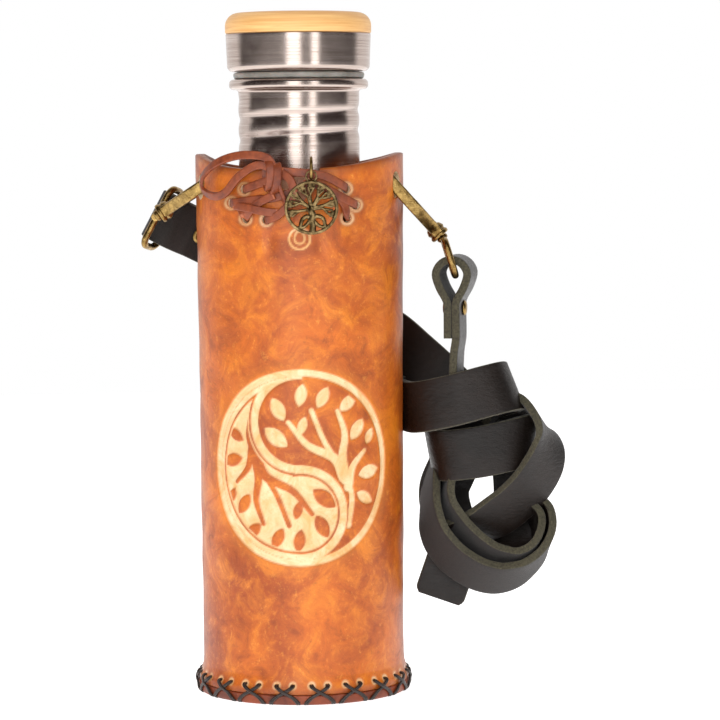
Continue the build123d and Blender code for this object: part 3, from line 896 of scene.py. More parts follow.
def emblem(s, z):
    """Cream (0-1) and warm glow (0-1) of the carved emblem at places on the sleeve's front."""
    u = s
    v = z - emblem_z
    r = np.hypot(u, v)
    inner_r = emblem_r - ring_half
    lobe = inner_r / 2
    upper = lobe - np.hypot(u, v - lobe)
    lower = lobe - np.hypot(u, v + lobe)
    right_side = np.maximum(np.minimum(u, -lower), upper)
    dark_half = np.minimum(right_side, inner_r - r)
    pale_half = np.minimum(-right_side, inner_r - r)
    ring = ring_half - np.abs(r - emblem_r)
    border = 1.1 - np.abs(right_side)
    border = np.where(r < inner_r, border, -9.0)
    field = np.maximum(ring, border)
    hairline = 0.45 - np.abs(pale_half - 2.6)
    field = np.maximum(field, np.minimum(pale_half, -hairline))
    dark_sprig = np.minimum(sprig(u, v), dark_half - 1.6)
    field = np.maximum(field, dark_sprig)
    pale_sprig = np.minimum(sprig(-u, -v), pale_half - 3.6)
    field = np.where(pale_half > 0, np.minimum(field, -pale_sprig), field)
    cream = smoothstep(-0.3, 0.3, field)
    centre_glow = smoothstep(4.0, 9.0, pale_half) * smoothstep(0.4, 3.0, -pale_sprig)
    glow = np.where(pale_half > 3.2, centre_glow, 0.0)
    return cream, glow


def stamp(s, z):
    """Small stamped drop inside a ring, below the lacing."""
    u = s - stamp_x
    v = z - stamp_z
    r = np.hypot(u, v)
    ring = 0.42 - np.abs(r - 4.0)
    drop = 2.0 - np.hypot(u, np.where(v > 0, v * 0.62, v))
    outline = 0.36 - np.abs(drop - 0.1)
    return smoothstep(-0.25, 0.25, np.maximum(ring, outline))


def stitch_middles():
    """Angles of the crossed stitches round the hem."""
    return [2 * pi * (k + 0.5) / stitch_count for k in range(stitch_count)]


def hem_holes():
    """Angle and height of each stitch hole in the wall."""
    middles = stitch_middles()
    return [(middle + side * stitch_spread, stitch_top_z) for middle in middles for side in (-1, 1)]


def angle_gap(a, b):
    """Smallest difference between angles."""
    return np.abs((a - b + pi) % (2 * pi) - pi)


wave_sizes = ((2, 90), (3, 60), (5, 41), (7, 27), (9, 19))
waves = [(turns, height, random.uniform(0, 2 * pi, 2)) for turns, height in wave_sizes]


def waviness(theta, z):
    """Slight unevenness of hand-formed leather."""
    total = np.zeros(theta.shape)
    for turns, height, phase in waves:
        total += np.sin(turns * theta + phase[0]) * np.sin(2 * pi * z / height + phase[1])
    return 0.07 * total


def dimple(s, z, at_s, at_z, width, height):
    """A soft dent of depth 1 at a place."""
    return np.exp(-(((s - at_s) / width) ** 2) - ((z - at_z) / height) ** 2)


def outer_relief(theta, z):
    """How far the outer face lies inside the plain sleeve shape."""
    s = ((theta + pi) % (2 * pi) - pi) * front_r
    cream, glow = emblem(s, z)
    depth = 0.60 * cream + 0.40 * glow
    depth += 0.28 * stamp(s, z)
    depth += waviness(theta, z)
    dents = ((-11.0, 182.5, 0.9), (8.6, 181.0, 0.9), (-24.0, 190.0, 0.5), (21.0, 186.0, 0.5))
    for x, at_z, amount in dents:
        depth += amount * dimple(s, z, x, at_z, 2.6, 6.0)
    for middle in stitch_middles():
        across = angle_gap(theta, middle) * hem_r
        depth += 0.35 * np.exp(-((across / 4.6) ** 2)) * smoothstep(13.0, 7.0, z)
    for angle, height in hem_holes():
        across = angle_gap(theta, angle) * hem_r
        depth += 0.6 * np.exp(-((across / 0.9) ** 2) - ((z - height) / 0.9) ** 2)
    seam = angle_gap(theta, pi) * front_r
    depth += 0.9 * np.exp(-((seam / 0.5) ** 2)) + 0.35 * np.exp(-((seam / 2.6) ** 2))
    return depth


def sleeve_angles():
    """Angles of the sleeve's mesh: close together at the front, where it is carved and laced."""
    fine = radians(60)
    front_count = 172
    front = np.linspace(-fine, fine, front_count)
    rest = np.linspace(fine, 2 * pi - fine, 92)[1:-1]
    return np.concatenate([front, rest])


def sleeve_rows():
    """Rows of the sleeve's closed section: (depth below the face, height, share of the mouth's rise).

    A height of 0 or less is measured from the mouth.
    """
    carve_step = 0.5
    body = [
        np.arange(wall_low_z + 0.7, 14.0, 0.55),
        np.arange(14.0, 53.0, 2.2),
        np.arange(53.0, 133.0, carve_step),
        np.arange(133.0, 174.0, 2.2),
        np.arange(174.0, 188.0, 0.6),
    ]
    rows = [(0.0, z, 0.0) for z in np.concatenate(body)]
    rise_rows = 34
    rows += [(0.0, 188.0, k / rise_rows) for k in range(rise_rows + 1)]
    lip = ((0.12, 0.42), (0.42, 0.12), (0.9, 0.0), (1.6, 0.0), (2.2, 0.0), (2.7, 0.12), (3.0, 0.42))
    for depth, drop in lip:
        rows.append((depth, -drop, 1.0))
    rows += [(leather, 188.0, k / 12) for k in range(12, -1, -1)]
    rows += [(leather, z, 0.0) for z in np.arange(182.0, 12.0, -7.0)]
    rows += [(leather, wall_low_z + 3.0, 0.0), (leather, wall_low_z + 0.3, 0.0)]
    rows += [(leather - 0.4, wall_low_z, 0.0), (0.7, wall_low_z, 0.0), (0.2, wall_low_z + 0.2, 0.0)]
    return rows


def sleeve_points():
    """Points of the sleeve: rows of the section by angles."""
    theta = sleeve_angles()
    rim_drop = 0.8
    rings = []
    for depth, height, share in sleeve_rows():
        top = mouth_height(sleeve_radii[-1] * np.sin(theta))
        if height > 0:
            z = height + (top - rim_drop - height) * share
        else:
            z = top + height
        z = z + np.zeros(theta.shape)
        r = sleeve_r(z) - depth
        if depth == 0.0:
            r = r - outer_relief(theta, z)
        rings.append(np.stack([r * np.sin(theta), -r * np.cos(theta), z], axis=1))
    return np.array(rings)


def peg_cutter(shape, x, z, r):
    """A round cutter square to the front of the sleeve, for a lace hole."""
    outer = sleeve_r(z)
    angle = np.arcsin(x / outer)
    away = np.array([np.sin(angle), -np.cos(angle), 0.0])
    path = np.array([away * (outer + step) + (0, 0, z) for step in (-6, 0, 6)])
    shape.sweep(path, (0, 0, 1), circle_section(r, 24))


def hook_cutter(shape, side):
    """Cutters along a hook's two arms, where they pass through an ear."""
    slot_reach = 5.5
    slot = box_section(7.0, 8.4, 3.3)
    name = side_name(side)
    ear = joint_point(f"{name}_hook_swing")
    along = joint_axis(f"{name}_eye_swivel")
    for y in (-arm_y, arm_y):
        middle = ear + (0, y, 0)
        path = np.array([middle - along * slot_reach, middle, middle + along * slot_reach])
        shape.sweep(path, (0, 1, 0), slot)


def notch_cutter(shape):
    """Rounded notch in the front of the mouth."""
    half = 9.0
    low_z = 193.5
    corners = [(-half, 225.0, 0), (-half * 0.95, 206.0, 6), (0.0, low_z, 3.2), (half * 0.95, 206.0, 6)]
    outline = rounded(corners + [(half, 225.0, 0)])
    front = np.array([(x, -60.0, z) for x, z in outline])
    back = np.array([(x, -20.0, z) for x, z in outline])
    count = len(outline)
    faces = grid_faces(2, count, False, True) + [list(range(count)), list(range(count, 2 * count))]
    shape.add(np.vstack([front, back]), faces)


def leather_sleeve():
    """Leather tube with carved front, flared hem, ears, notch and holes."""
    rings = sleeve_points()
    rows, columns = rings.shape[:2]
    shape = Shape()
    shape.add(rings, grid_faces(rows, columns, True, True))
    sleeve = shape.make("leather_sleeve", [leather_tan, leather_pale], 60.0)
    cutters = Shape()
    for x, z in left_lace_holes + right_lace_holes:
        peg_cutter(cutters, x, z, lace_hole_r)
    for side in (-1, 1):
        hook_cutter(cutters, side)
    notch_cutter(cutters)
    cutter = cutters.make("hole_cutters", [leather_tan, leather_pale])
    cutter.data.polygons.foreach_set("material_index", [1] * len(cutter.data.polygons))
    cut = sleeve.modifiers.new("holes", "BOOLEAN")
    cut.operation = "DIFFERENCE"
    cut.solver = "EXACT"
    cut.object = cutter
    modified(sleeve, 60.0)
    bpy.data.objects.remove(cutter)
    paint_sleeve(sleeve)
    return sleeve


def paint_sleeve(sleeve):
    """Store the carving's cream, the glow round it, the burnished edges and the painted shade on the sleeve's
    sides on the mesh.
    """
    points = vertex_points(sleeve)
    theta = np.arctan2(points[:, 0], -points[:, 1])
    s = theta * front_r
    z = points[:, 2]
    r = np.hypot(points[:, 0], points[:, 1])
    front = (r > sleeve_r(z) - 1.6) & (np.abs(theta) < radians(75))
    cream, glow = emblem(s, z)
    cream = np.maximum(cream, 0.85 * stamp(s, z))
    holes = np.zeros(len(points))
    for angle, height in hem_holes():
        across = angle_gap(theta, angle) * hem_r
        distance = np.hypot(across, z - height)
        holes = np.maximum(holes, 0.9 * np.exp(-(((distance - 1.15) / 0.45) ** 2)))
    out = np.hypot(s, z - emblem_z) - emblem_r
    halo = np.exp(-(np.clip(out, 0, None) / 4.5) ** 2) * (out > -2)
    top = mouth_height(points[:, 0])
    burnish_and_side_shade = np.maximum(0.7 * smoothstep(5.0, 0.0, top - z), 0.55 * smoothstep(8.0, 4.0, z))
    burnish_and_side_shade = np.maximum(burnish_and_side_shade, 0.8 * np.exp(-((angle_gap(theta, pi) * front_r / 1.5) ** 2)))
    # Painted shade: the sleeve's left and right sides are darkened where they turn away from the front light
    burnish_and_side_shade = np.maximum(burnish_and_side_shade, 0.5 * smoothstep(radians(62), radians(88), np.abs(theta)))
    for x, hole_z in left_lace_holes + right_lace_holes:
        distance = np.hypot(points[:, 0] - x, z - hole_z)
        on_rim = np.exp(-(((distance - 2.3) / 0.5) ** 2)) * (points[:, 1] < 0)
        holes = np.maximum(holes, 0.55 * on_rim)
        burnish_and_side_shade = np.maximum(burnish_and_side_shade, 0.6 * smoothstep(5.0, 2.0, distance) * (points[:, 1] < 0))
    set_attribute(sleeve, "cream", np.where(front, cream, 0.0) + holes)
    set_attribute(sleeve, "glow", np.where(front, 0.8 * glow, 0.0))
    set_attribute(sleeve, "halo", np.where(front, halo, 0.0))
    set_attribute(sleeve, "burnish_and_side_shade", burnish_and_side_shade)


def sole():
    """Thick leather disc under the wall, with a burnished rounded edge."""
    r = node_high("sleeve_base")[0]
    top = node_high("sleeve_base")[2]
    outline = [(0.0, 0.0, 0), (r, 0.0, 1.3), (r, top, 0.7), (0.0, top, 0)]

    def pulled(points):
        theta = np.arctan2(points[:, 0], -points[:, 1])
        r_here = np.hypot(points[:, 0], points[:, 1])
        pull = np.zeros(len(points))
        for middle in stitch_middles():
            gap = angle_gap(theta, middle + pi / stitch_count) * hem_r
            pull += 0.45 * np.exp(-((gap / 1.8) ** 2)) * smoothstep(38.0, hem_r, r_here)
        return towards_axis(points, pull)

    shape = Shape()
    shape.lathe(outline, 12.0, 1.0, 304, closed=False, place=pulled)
    return shape.make("leather_sole", [leather_base])


def round_the_hem(angle, r, z):
    """A point at an angle round the sleeve."""
    return np.array([r * np.sin(angle), -r * np.cos(angle), z])


def hem_stitches():
    """Crossed double strands of waxed cord over the seam between wall and sole."""
    shape = Shape()
    strand_gap = 0.44 / hem_r
    for middle in stitch_middles():
        for side in (-1, 1):
            over = 0.35 if side > 0 else 0.0
            route = [
                (-stitch_spread, 40.6, stitch_top_z + 0.1),
                (-stitch_spread, hem_r, stitch_top_z),
                (-stitch_spread * 0.8, 42.75, stitch_top_z - 0.8),
                (0.0, 43.0 + over, stitch_cross_z),
                (stitch_low_spread * 0.55, 43.0, 3.4),
                (stitch_low_spread * 0.93, 42.9, stitch_low_z),
                (stitch_low_spread, 42.2, 0.55),
                (stitch_low_spread, 40.6, 0.5),
            ]
            for strand in (-1, 1):
                start = middle + strand * strand_gap
                points = [round_the_hem(start + side * along, r, z) for along, r, z in route]
                shape.sweep(smooth_path(points, 0.7), (0, 0, 1), circle_section(cord_r, 8))
    return shape.make("hem_stitches", [cord_black])


def seam_stitches():
    """Short double stitches across the butted seam at the back."""
    shape = Shape()
    half = 3.6
    for k in range(16):
        z = 20.0 + k * 11.5
        r = sleeve_r(z)
        for strand in (-1, 1):
            points = []
            for share in (-1.0, -0.92, -0.5, 0.0, 0.5, 0.92, 1.0):
                lift = -1.0 if abs(share) == 1.0 else 0.35
                angle = pi + share * half / r
                points.append(round_the_hem(angle, r + lift, z + 0.4 * strand + 0.5 * share))
            shape.sweep(smooth_path(points, 0.7), (0, 0, 1), circle_section(cord_r, 8))
    return shape.make("seam_stitches", [cord_black])


def tongue():
    """Soft lining behind the notch, gathered in shallow folds."""
    low = node_low("neck_tongue")
    high = node_high("neck_tongue")
    r_mid = 37.35
    half_angle = np.arcsin(high[0] / r_mid)
    rows = 26
    columns = 60
    rings = []
    for face in (-1, 1):
        grid = []
        for t in np.linspace(0, 1, rows):
            z = low[2] + (high[2] - low[2]) * t
            angle = np.linspace(-half_angle, half_angle, columns)
            fold = 0.10 * np.sin(angle * 34) * smoothstep(0.2, 0.9, t)
            r = r_mid + face * 0.55 + fold
            top_wave = 0.8 * np.cos(angle * 9) * t
            grid.append(np.stack([r * np.sin(angle), -r * np.cos(angle), z + top_wave], axis=1))
        rings.append(np.array(grid))
    shell = np.concatenate([rings[0], rings[1][::-1]])
    shape = Shape()
    faces = grid_faces(2 * rows, columns, True, False)
    for column in (0, columns - 1):
        for k in range(rows - 1):
            front = 2 * rows - 1 - k
            quad = [k, k + 1, front - 1, front]
            faces.append([row * columns + column for row in quad])
    shape.add(shell, faces)
    return shape.make("neck_tongue_lining", [leather_tongue])


piece(leather_sleeve(), "sleeve", "sleeve", "sleeve_wall")
piece(sole(), "sleeve", "sleeve", "sleeve_base")
piece(hem_stitches(), "sleeve", "cord", "base_stitching")
piece(seam_stitches(), "sleeve", "cord", "back_seam_stitching")
piece(tongue(), "sleeve", "tongue", "neck_tongue")


# Lacing and bow


def on_front(x, z, lift):
    """A point a distance outside the sleeve's front."""
    r = sleeve_r(z) + lift
    return np.array([x, -np.sqrt(np.maximum(r**2 - x**2, 1.0)), z])


def thong(shape, points, width=thong_w):
    """A flat thong through (x, z, lift, twist) places on the front; twist is in degrees."""
    path = smooth_path([(*on_front(x, z, lift), twist) for x, z, lift, twist in points], 0.55)
    places = path[:, :3]
    twist = np.radians(path[:, 3])[:, None]
    away = unit(places * (1, 1, 0))
    tangent = unit(np.gradient(places, axis=0))
    flat = unit(np.cross(away, tangent))
    across = np.cos(twist) * flat + np.sin(twist) * away
    shape.sweep(places, across, box_section(width, thong_t, thong_corner, 0.9))


def laces():
    """Strands of the lacing, from hole to hole across the notch."""
    shape = Shape()
    strands = [
        [
            (-20.9, 201.6, -2.6, 0), (-19.6, 201.9, 0.6, 0), (-15.0, 203.6, 1.2, 0),
            (-8.0, 206.0, 1.6, 0), (0.0, 208.0, 1.6, 0),
        ],
        [
            (-26.2, 196.1, -2.6, 0), (-24.6, 196.3, 0.7, 0), (-17.0, 197.4, 1.1, 0),
            (-9.0, 198.2, 1.2, 0), (-2.0, 200.4, 0.8, 0),
        ],
        [(-20.6, 190.0, -2.6, 70), (-20.9, 191.2, 0.7, 40), (-22.0, 193.6, 0.8, 0), (-23.6, 195.8, 0.5, 0)],
        [
            (18.9, 201.4, -2.6, 0), (17.6, 202.6, 1.0, 0), (11.0, 206.2, 2.0, 0),
            (4.0, 207.6, 2.6, 0), (-6.0, 208.4, 2.4, 0),
        ],
        [
            (22.7, 195.0, -2.6, 0), (21.4, 195.8, 0.8, 0), (15.0, 199.4, 1.2, 0),
            (9.0, 202.4, 1.2, 0), (2.0, 203.6, 0.8, 0),
        ],
        [(19.2, 190.0, -2.6, 60), (19.0, 191.4, 0.7, 30), (17.8, 195.6, 1.0, 0), (15.0, 199.0, 0.6, 0)],
        [
            (-20.4, 190.0, -2.6, 40), (-19.8, 191.2, 0.6, 20), (-17.6, 194.2, 1.8, 0),
            (-14.4, 196.6, 1.9, 0), (-9.0, 199.4, 2.6, 0),
        ],
        [(-24.8, 195.2, 0.6, 0), (-18.8, 194.2, 2.6, 0), (-12.6, 192.9, 2.4, 0), (-7.8, 192.4, 1.6, 0)],
    ]
    for strand in strands:
        thong(shape, strand)
    return shape.make("front_laces", [leather_lace])


def bow():
    """The bow: its wrapped knot and the strand that hangs from it to the last hole."""
    shape = Shape()
    thong(shape, [(-6.4, 208.4, 3.0, 0), (-2.6, 205.0, 4.2, 10), (-1.6, 200.4, 4.4, 5), (-3.6, 195.4, 3.6, 0),
                  (-7.8, 191.4, 2.4, 0), (-11.6, 189.8, 0.7, 0), (-12.6, 189.4, -2.6, 0)])
    under = [(-9.4, 208.0, 3.4, 0), (-7.4, 203.6, 3.6, 55), (-5.6, 199.0, 3.4, 75), (-4.4, 196.0, 3.0, 40)]
    thong(shape, under, 2.6)
    for shift, lift, lean in ((0.0, 4.6, 0.0), (2.6, 4.0, 1.6)):
        loop = []
        for k in range(12):
            angle = 2 * pi * k / 12
            x = -11.2 + shift + lean * 0.4 * np.cos(angle) + 0.9 * np.sin(angle)
            z = 207.0 - shift * 0.5 + 5.4 * np.cos(angle)
            loop.append(on_front(x, z, lift * 0.62 + 2.5 * np.sin(angle)))
        path = smooth_path(loop, 0.5, closed=True)
        section = box_section(thong_w, thong_t, thong_corner, 0.9)
        shape.sweep(path, (1.0, 0.12 * shift, 0.25), section, closed=True)
    return shape.make("bow_knot_thong", [leather_lace])


def bow_loop():
    """The bow's long loop, laid towards the ear."""
    shape = Shape()
    thong(shape, [
        (-8.6, 208.6, 3.4, 0), (-11.6, 213.6, 3.6, 0), (-19.6, 214.8, 3.6, 6), (-27.0, 213.6, 3.8, 10),
        (-33.2, 210.6, 4.2, 16), (-37.4, 206.0, 4.4, 24), (-37.2, 201.2, 4.2, 28), (-32.8, 198.8, 3.9, 22),
        (-28.2, 200.2, 3.8, 12), (-23.2, 206.0, 3.6, 4), (-17.6, 210.0, 3.4, 0), (-13.2, 210.8, 3.0, 0),
        (-9.0, 208.8, 2.6, 0),
    ])
    return shape.make("bow_long_loop", [leather_lace])


def mark_edges(obj):
    """Store how sharply the thong turns at each point: its cut edges turn most."""
    mesh = obj.data
    count = len(mesh.vertices)
    ends = np.empty(len(mesh.edges) * 2, dtype=np.int32)
    mesh.edges.foreach_get("vertices", ends)
    ends = ends.reshape(-1, 2)
    normals = np.empty(count * 3)
    mesh.vertices.foreach_get("normal", normals)
    normals = normals.reshape(-1, 3)
    turn = 1 - np.sum(normals[ends[:, 0]] * normals[ends[:, 1]], axis=1)
    sharpest = np.zeros(count)
    np.maximum.at(sharpest, ends[:, 0], turn)
    np.maximum.at(sharpest, ends[:, 1], turn)
    set_attribute(obj, "edge", smoothstep(0.02, 0.12, sharpest))


for made, node in ((laces(), "front_lacing"), (bow(), "bow_knot"), (bow_loop(), "bow_loop")):
    mark_edges(made)
    piece(made, "sleeve", "lace", node)


# Medallion


def charm():
    """Openwork charm: rim, trunk, fan of branches with twigs, and two roots, cast as one."""
    low, high = node_low("medallion"), node_high("medallion")
    r = (high[0] - low[0]) / 2
    centre = np.array([(low[0] + high[0]) / 2, (low[1] + high[1]) / 2, low[2] + r])
    shape = Shape()
    angles = np.linspace(0, 2 * pi, 72, endpoint=False)
    rim = np.stack([(r - 0.65) * np.cos(angles), 0 * angles, (r - 0.65) * np.sin(angles)], axis=1)
    shape.sweep(rim + centre, (0, 1, 0), box_section(1.7, 1.3, 0.4), closed=True)

    def limb(points, start_r, end_r):
        path = smooth_path([(x, 0.0, z) for x, z in points], 0.35)
        radii = np.linspace(start_r, end_r, len(path))
        shape.sweep(path + centre, (0, 1, 0), circle_section(1.0, 10), scale=radii)

    limb([(-0.3, -5.2), (0.5, -3.0), (-0.2, -1.2), (0.1, 0.6)], 1.5, 1.2)
    limb([(-0.2, -4.0), (-1.8, -3.4), (-3.6, -4.6), (-4.4, -7.4), (-5.2, -8.4)], 1.0, 0.7)
    limb([(-0.2, -4.4), (-3.0, -7.4), (-6.0, -7.6)], 0.8, 0.6)
    limb([(0.2, -4.0), (2.4, -3.2), (4.6, -4.4), (5.2, -7.0), (5.6, -8.2)], 1.0, 0.7)
    limb([(0.2, -4.4), (3.4, -7.2), (6.6, -7.0)], 0.8, 0.6)
    limb([(0.0, -4.6), (0.5, -7.0), (0.2, -9.6)], 1.2, 1.4)
    branch_count = 9
    for k in range(branch_count):
        spread = (k - (branch_count - 1) / 2) / ((branch_count - 1) / 2)
        angle = radians(90 - 106 * spread)
        outward = np.array([np.cos(angle), np.sin(angle)])
        sideways = np.array([-outward[1], outward[0]])
        sway = 0.9 * (-1) ** k
        middle = outward * r * 0.42 + (0, 0.5) + sideways * 0.5 * sway
        knee = outward * r * 0.66 - sideways * 0.5 * sway
        end = outward * (r - 0.8) + sideways * 0.4 * sway
        limb([(0.0, -0.6 + 0.5 * (k % 2)), tuple(middle), tuple(knee), tuple(end)], 0.75, 0.42)
        for turn in (-1, 1):
            for reach, start in ((0.80, middle), (0.90, knee)):
                leaf_angle = angle + turn * radians(13 - 6 * reach)
                leaf = np.array([np.cos(leaf_angle), np.sin(leaf_angle)]) * r * reach
                limb([tuple(start), tuple((start + leaf) / 2 + outward * 0.25), tuple(leaf)], 0.34, 0.62)
    top = (high[2] - low[2]) - 2 * r
    eyelet_mid_r = (top + 0.6) / 2 - 0.3
    eyelet_z = r + top - 0.3 - eyelet_mid_r
    eyelet = eyelet_mid_r * np.stack([np.cos(angles), 0 * angles, np.sin(angles)], axis=1) + (0, 0, eyelet_z)
    shape.sweep(eyelet + centre, (0, 1, 0), box_section(1.0, 0.7, 0.3), closed=True)
    made = shape.make("tree_medallion", [charm_brass])
    fuse = made.modifiers.new("fuse", "REMESH")
    fuse.mode = "VOXEL"
    fuse.voxel_size = 0.00013
    ease = made.modifiers.new("ease", "SMOOTH")
    ease.iterations = 2
    ease.factor = 0.5
    return modified(made, 80.0)


def jump_ring():
    """Wire ring through the charm's eyelet, with its small cut."""
    low, high = node_low("medallion_ring"), node_high("medallion_ring")
    centre = (low + high) / 2
    wire_r = 0.55
    r = (high[2] - low[2]) / 2 - wire_r
    angles = np.linspace(radians(94), radians(94 + 357), 64)
    path = np.stack([0 * angles, r * np.cos(angles), r * np.sin(angles)], axis=1) + centre
    shape = Shape()
    shape.sweep(path, (1, 0, 0), circle_section(wire_r, 12))
    return shape.make("jump_ring_wire", [brass])


piece(charm(), "charm", "antique_brass", "medallion")
piece(jump_ring(), "charm", "antique_brass", "medallion_ring")


# Hooks


def hook_place(side):
    """A function from hook places (u along, y across, w through its thickness) to points."""
    name = side_name(side)
    along = joint_axis(f"{name}_eye_swivel")
    up = joint_axis(f"{name}_gate_hinge")
    pivot = joint_point(f"{name}_gate_hinge")
    origin = (pivot - along * gate_pivot_u) * (1, 0, 1)

    def place(points):
        points = np.asarray(points, float)
        return origin + points[:, 0:1] * along + points[:, 1:2] * np.array([0, 1, 0]) + points[:, 2:3] * up

    return place, along, up, origin


def hook(side):
    """Cast hook: bow, plain arm, cut arm with a fork for the gate, and a ringed collar."""
    place, _, up, _ = hook_place(side)
    bow_u = right_bow_u if side > 0 else left_bow_u
    cheek_w = 1.78

    def at_level(outline, w):
        return place(np.column_stack([outline, np.full(len(outline), w)]))

    shape = Shape()
    bar = box_section(hook_t, arm_w, 0.75, 1.2)
    main = rounded([(8.0, arm_y, 0), (bow_u, arm_y, 4.2), (bow_u, -arm_y, 4.2), (13.5, -arm_y, 5.0),
                    (25.0, -2.6, 5.0), (27.5, -2.0, 0)], closed=False, arc_step=8.0)
    main = filled_in(main, 1.2, closed=False)
    shape.sweep(at_level(main, 0.0), up, bar)
    arm_corners = [(12.6, arm_y, 0), (14.0, arm_y, 2.0), (25.0, 2.6, 5.0), (27.5, 2.0, 0)]
    arm = rounded(arm_corners, closed=False, arc_step=8.0)
    arm = filled_in(arm, 1.2, closed=False)
    for w in (-cheek_w, cheek_w):
        shape.sweep(at_level(arm[:14], w), up, box_section(1.2, arm_w, 0.4, 1.2))
    shape.sweep(at_level(arm[10:], 0.0), up, bar)
    collar = [
        (1.6, collar_u - 1.2, 0.1),
        (3.0, collar_u - 1.2, 0.8),
        (3.9, collar_u + 0.9, 0.5),
        (3.3, collar_u + 1.9, 0.4),
        (4.0, collar_u + 2.8, 0.5),
        (3.8, collar_u + collar_len, 0.6),
        (1.6, collar_u + collar_len, 0.1),
    ]
    shape.lathe(collar, 20.0, 0.9, 48, place=lambda points: place(points[:, [2, 0, 1]]))
    return shape.make(f"{side_name(side)}_cast_hook", [brass])


def eye_place(side):
    """Centre of the eye's near bar, direction of its bars, and direction to the far bar."""
    _, along, _, origin = hook_place(side)
    centre = origin + along * eye_u
    if side > 0:
        slope = radians(right_eye_slope)
        return centre, np.array([0.0, 1.0, 0.0]), np.array([cos(slope), 0.0, -sin(slope)])
    centre = centre + (0, left_eye_setback, 0)
    bar, down = back_axes()
    turn = radians(left_eye_turn)
    return centre, bar, down * sin(turn) + np.array([0, 1, 0]) * cos(turn)


def back_axes():
    """Across and along directions of the strap behind the sleeve."""
    slope = radians(back_slope)
    return np.array([sin(slope), 0, cos(slope)]), np.array([cos(slope), 0, -sin(slope)])


def eye(side):
    """Wire eye for the strap, with the stub that turns in the hook's collar."""
    place, along, up, origin = hook_place(side)
    centre, bar, away = eye_place(side)
    corners = [
        (-eye_half_w, 0, 4.0),
        (eye_half_w, 0, 4.0),
        (eye_half_w, eye_depth, eye_corner),
        (-eye_half_w, eye_depth, eye_corner),
    ]
    outline = filled_in(rounded(corners, arc_step=10.0), 1.2)
    path = centre + outline[:, 0:1] * bar + outline[:, 1:2] * away
    shape = Shape()
    shape.sweep(path, np.cross(bar, away), circle_section(eye_wire_r, 16), closed=True)
    stub = [
        (0.0, collar_u - 2.2, 0),
        (2.5, collar_u - 2.2, 0.5),
        (2.5, collar_u - 0.8, 0.4),
        (1.5, collar_u - 0.7, 0.1),
        (1.5, collar_u + collar_len + 0.1, 0.1),
        (2.4, collar_u + collar_len + 0.2, 0.5),
        (2.2, eye_u, 1.0),
        (0.0, eye_u + 0.4, 0),
    ]
    shape.lathe(stub, 20.0, 0.9, 32, closed=False, place=lambda points: place(points[:, [2, 0, 1]]))
    if side < 0:
        neck = origin + along * eye_u
        link = np.array([neck, (neck + centre) / 2, centre])
        shape.sweep(link, up, circle_section(1.7, 16))
    return shape.make(f"{side_name(side)}_wire_eye", [brass])


def bevelled(name, material):
    """A CAD node that stays, with its edges eased and a finish."""
    obj = frame["nodes"][name]
    obj.data.materials.clear()
    obj.data.materials.append(material)
    ease = obj.modifiers.new("ease", "BEVEL")
    ease.width = 0.00035
    ease.segments = 2
    ease.limit_method = "ANGLE"
    ease.angle_limit = radians(40)
    return obj


for side in (-1, 1):
    name = side_name(side)
    piece(hook(side), f"{name}_strap", "antique_brass", f"{name}_hook_body")
    piece(eye(side), f"{name}_eye", "antique_brass", f"{name}_swivel_eye")
    bevelled(f"{name}_hook_gate", brass)
    bevelled(f"{name}_gate_pin", brass)
bevelled("cap_plug", plastic)


# Strap

strap_section = box_section(strap_w, strap_t, 0.55, 2.2)


def strap_piece(name, path, across, closed=False):
    """A stretch of strap as its own object."""
    shape = Shape()
    shape.sweep(path, across, strap_section, closed=closed, edge_material=1, back_material=2)
    return shape.make(name, strap_materials, 50.0)


def fold_outline():
    """Centre line of a folded end in its own plane: down the strap, and to its outer side."""
    mid = strap_t / 2 + 0.05
    r = fold_mid_r
    turn = [(-r * cos(radians(a)), r * sin(radians(a))) for a in range(-90, 91, 30)]
    short = [(fold_end + 2.0, -mid), (16.0, -mid), (fold_taper + 1.0, -mid - 0.2), (5.0, -4.7)]
    long = [(5.0, 4.7), (fold_taper + 1.0, mid + 0.2), (16.0, mid), (fold_end + 2.0, mid)]
    return short + turn + long


def rivet(name, centre, axis, body, node):
    """Two domed heads on a shank through both layers."""
    side = unit(np.cross(axis, (0.31, 0.2, 0.93)))
    other = np.cross(axis, side)
    grip = strap_t + 0.1
    outline = [
        (0.0, -grip - 1.5, 0),
        (2.2, -grip - 1.4, 1.0),
        (3.7, -grip - 0.1, 0.4),
        (1.2, -grip, 0.1),
        (1.2, grip, 0.1),
        (3.7, grip + 0.1, 0.4),
        (2.2, grip + 1.4, 1.0),
        (0.0, grip + 1.5, 0),
    ]
    shape = Shape()
    shape.lathe(outline, 20.0, 0.8, 40, closed=False,
                place=lambda p: centre + p[:, 0:1] * side + p[:, 1:2] * other + p[:, 2:3] * axis)
    return piece(shape.make(name, [brass]), body, "antique_brass", node)


def right_strap():
    """Right end: fold on the eye, two riveted layers, and the drop into the knot."""
    centre, _, away = eye_place(1)
    fold = centre + away * eye_depth
    yaw = radians(10)
    across = np.array([sin(yaw), cos(yaw), 0.0])
    outside = np.array([cos(yaw), -sin(yaw), 0.0])
    down = np.array([0.0, 0.0, -1.0])
    outline = fold_outline() + [(31.0, 0.8), (39.0, 0.4), (47.0, 0.2), (54.0, -1.0)]
    points = [fold + down * a + outside * b for a, b in outline]
    made = strap_piece("right_strap_end", smooth_path(points, 1.1), across)
    rivet("right_rivet", fold + down * rivet_at, outside, "right_strap", "right_strap_rivet")
    return made


def back_point(down_run, back_run):
    """A point of the strap's plane behind the sleeve."""
    down = back_axes()[1]
    neck = eye_place(-1)[0]
    mid_z = neck[2] + neck[0] * np.tan(radians(back_slope))
    return np.array([0, 0, mid_z]) + down * down_run + np.array([0, 1, 0]) * back_run


